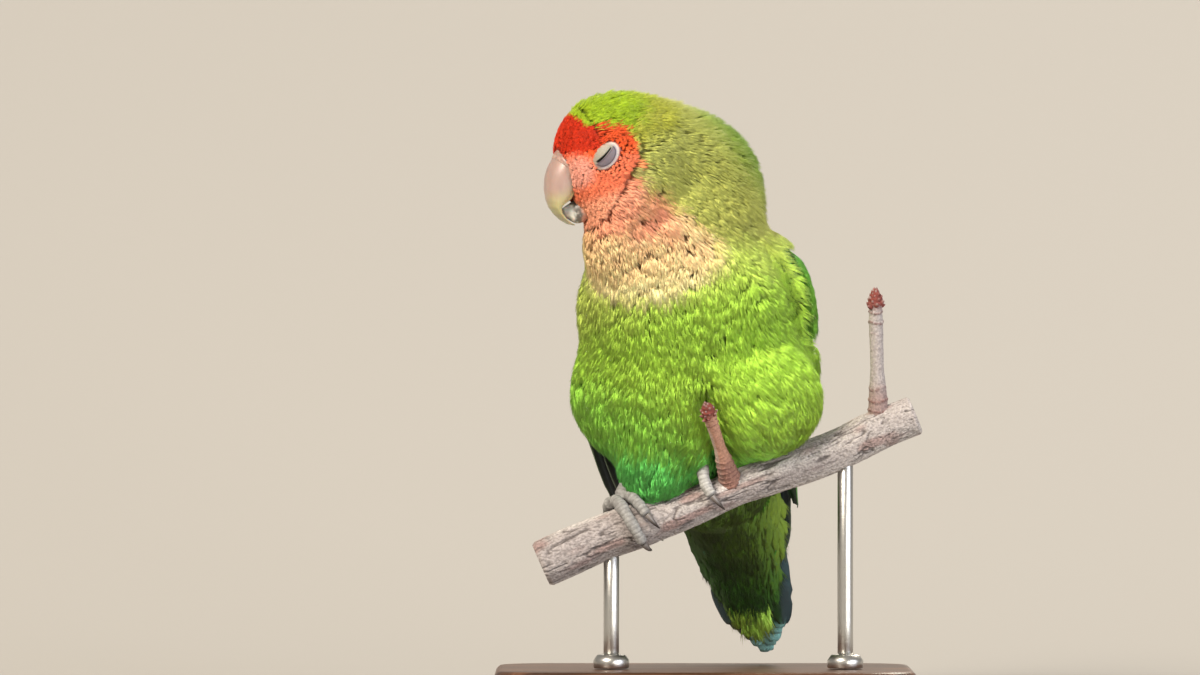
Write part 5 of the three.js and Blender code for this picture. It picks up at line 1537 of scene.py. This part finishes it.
def woodMaterial():
    # oiled walnut: close grain along the board, a soft shine over dark growth lines
    material, tree, shader = addMaterial("oiled_walnut", Roughness=0.38, IOR=1.5)
    place = addNode(tree, "TexCoord").outputs["Object"]
    stretched = addNode(tree, "Mapping", {"Vector": place, "Scale": (0.06, 1, 1),
                                          "Rotation": (0.05, 0.03, 0.06)})
    rings = addNode(tree, "TexNoise", {"Vector": stretched.outputs[0], "Scale": 240, "Detail": 6,
                                       "Distortion": 0.6})
    pores = addNode(tree, "TexNoise", {"Vector": stretched.outputs[0], "Scale": 2400, "Detail": 2})
    tone = addNode(tree, "MapRange", {"Value": rings.outputs["Fac"], "From Min": 0.35, "From Max": 0.66})
    wood = addNode(tree, "Mix", {0: tone.outputs[0], 6: rgba("#6b4630"), 7: rgba("#2f1c12")},
                   data_type="RGBA")
    dark = addNode(tree, "MapRange", {"Value": pores.outputs["Fac"], "From Min": 0.35, "From Max": 0.55,
                                      "To Min": 0.7})
    blend = addNode(tree, "Mix", {0: 1.0, 6: wood.outputs[2], 7: dark.outputs[0]}, data_type="RGBA",
                    blend_type="MULTIPLY")
    tree.links.new(blend.outputs[2], shader.inputs["Base Color"])
    bumped(tree, shader, pores.outputs["Fac"], 0.05)
    return material


def steelMaterial():
    # brushed stainless steel rod: fine lines round the rod blur its reflections
    material, tree, shader = addMaterial("brushed_steel", Base_Color=rgba("#c3c2be"), Metallic=1.0)
    place = addNode(tree, "TexCoord").outputs["Object"]
    lines = addNode(tree, "Mapping", {"Vector": place, "Scale": (1, 1, 24)})
    brush = addNode(tree, "TexNoise", {"Vector": lines.outputs[0], "Scale": 300, "Detail": 3})
    rough = addNode(tree, "MapRange", {"Value": brush.outputs["Fac"], "To Min": 0.22, "To Max": 0.42})
    tree.links.new(rough.outputs[0], shader.inputs["Roughness"])
    bumped(tree, shader, brush.outputs["Fac"], 0.02)
    return material


walnut, steel = woodMaterial(), steelMaterial()


def baseRings():
    # a rounded rectangle carried up the edge: square corners eased below, a rounded arris above
    rise = np.linspace(0, pi / 2, 9)
    r, c = stand["bevel"] * 1.6, 0.5
    steps = [(0, c), (0.06, c * 0.5), (c * 0.5, 0.06), (c, 0)]
    section = [(z, inset) for z, inset in steps] + [(stand["thick"] - r + r * np.sin(a), r - r * np.cos(a))
                                                    for a in rise]
    turn = turnsRound(160)
    half = np.array([stand["width"] / 2, stand["depth"] / 2])
    rings = []
    for z, inset in section:
        corner = stand["corner"] - inset
        core = half - stand["corner"]
        quarter = np.stack([np.sign(np.cos(turn)) * core[0], np.sign(np.sin(turn)) * core[1]], -1)
        edge = quarter + corner * np.stack([np.cos(turn), np.sin(turn)], -1)
        rings.append(np.hstack([edge, np.full((160, 1), z)]))
    top = rings[-1]
    for share in (0.985, 0.9, 0.5):
        rings.append(np.hstack([top[:, :2] * share, top[:, 2:]]))
    return np.array(rings)


def closingFaces(rows, columns):
    # joins the last ring to the first
    j = np.arange(columns)
    k = (j + 1) % columns
    last = (rows - 1) * columns
    return np.stack([last + j, last + k, k, j], -1)


def lathe(section, at, sides):
    # a closed outline of (radius, height) turned about an upright axis
    section = np.array(section, float)
    turn = turnsRound(sides)
    circle = np.stack([np.cos(turn), np.sin(turn), 0 * turn], -1)
    return circle[None] * section[:, :1, None] + np.array([0, 0, 1]) * section[:, 1:, None] + np.array(at)


addTube("walnut_base", baseRings(), walnut, None, "stand_wood", "stand_base")
for label, x in stand["rods"].items():
    centre, _, _, radius = perchPlace(np.array([float(x)]))
    low, high = stand["thick"] + stand["gap"], centre[0, 2] - radius[0] + 0.6
    r = stand["rod"]
    rod = lathe([(r - 0.4, low), (r, low + 0.4), (r, low + 12), (r, (low + high) / 2), (r, high - 0.4),
                 (r - 0.3, high)], (x, -13, 0), 48)
    addTube("steel_rod_" + label, rod, steel, None, "stand_steel", "stand_rod_" + label)
    inner, outer, tall = r + stand["gap"], stand["collar"], stand["high"]
    outline = [(inner, 0.2), (inner + 0.2, 0), (outer - 0.3, 0), (outer, 0.3), (outer, tall * 0.55),
               (outer - 0.15, tall * 0.66),
               (outer - 0.9, tall - 0.1), (outer - 1.15, tall), (inner + 0.2, tall), (inner, tall - 0.2)]
    ring = lathe(outline, (x, -13, low), 64)
    addMesh("steel_collar_" + label, ring.reshape(-1, 3),
            np.concatenate([gridFaces(*ring.shape[:2], True), closingFaces(*ring.shape[:2])]), [],
            steel, slot="stand_steel", replaces=("stand_collar_" + label,))
print("stand made")


# Camera at the photograph's angle, floor and soft light
view = {"middle": (-26.9, -13, 92.1), "across": 307.7, "away": 2600}
lights = {
    # place in mm from the bird's middle, width in mm, watts, colour
    "key": ((-1000, -1300, 1300), 700, 62, "#fff3e2"),
    "bounce": ((950, -1500, 10), 900, 21, "#f4efe6"),
    "fill": ((1500, -1100, 500), 1300, 20, "#e9f0ff"),
    "rim": ((600, 1300, 1300), 700, 22, "#fff6e6"),
}
bpy.context.scene.view_settings.view_transform = "Standard"
cameraData = bpy.data.cameras.new("camera")
cameraData.sensor_width = 36
cameraData.lens = 36 * view["away"] / view["across"]
cameraData.clip_end = 50
camera = bpy.data.objects.new("camera", cameraData)
camera.location = np.array(view["middle"]) * millimetre + np.array([0, -view["away"] * millimetre, 0])
camera.rotation_euler = (pi / 2, 0, 0)
bpy.context.scene.collection.objects.link(camera)
bpy.context.scene.camera = camera
for lightName, (place, wide, power, colour) in lights.items():
    data = bpy.data.lights.new(lightName, "AREA")
    data.size, data.energy, data.color = wide * millimetre, power, toLinear(colour)
    lamp = bpy.data.objects.new(lightName, data)
    lamp.location = np.array(place) * millimetre + np.array([0, 0, 0.09])
    lamp.rotation_euler = Vector([-c for c in place]).to_track_quat("-Z", "Y").to_euler()
    bpy.context.scene.collection.objects.link(lamp)
world = bpy.data.worlds.new("studio")
bpy.context.scene.world = world
world.use_nodes = True
world.node_tree.nodes["Background"].inputs["Color"].default_value = rgba("#d8d2c9")
world.node_tree.nodes["Background"].inputs["Strength"].default_value = 0.5
# matt seamless paper: flat under the stand, then curving up behind in a slow sweep, so that no horizon shows;
# it ends low, just above what the camera sees, so that the bird's back can be looked at over it
floorPaint, _, _ = addMaterial("matt_paper", Base_Color=rgba("#a5a29d"), Roughness=0.95)
along = np.array([-1500, -200, *np.linspace(150, 731, 40)])[:, None]
across = np.linspace(-2200, 2200, 30)[None]
sweep = np.stack(np.broadcast_arrays(across, along, np.clip(along - 150, 0, 3000) ** 2 / 1500), -1)
floorMesh = bpy.data.meshes.new("floor")
floorMesh.from_pydata((sweep.reshape(-1, 3) * millimetre).tolist(), [], gridFaces(42, 30, False).tolist())
floorMesh.polygons.foreach_set("use_smooth", np.full(len(floorMesh.polygons), True))
floorMesh.materials.append(floorPaint)
floor = bpy.data.objects.new("floor", floorMesh)
bpy.context.scene.collection.objects.link(floor)
print("camera, light and floor made")
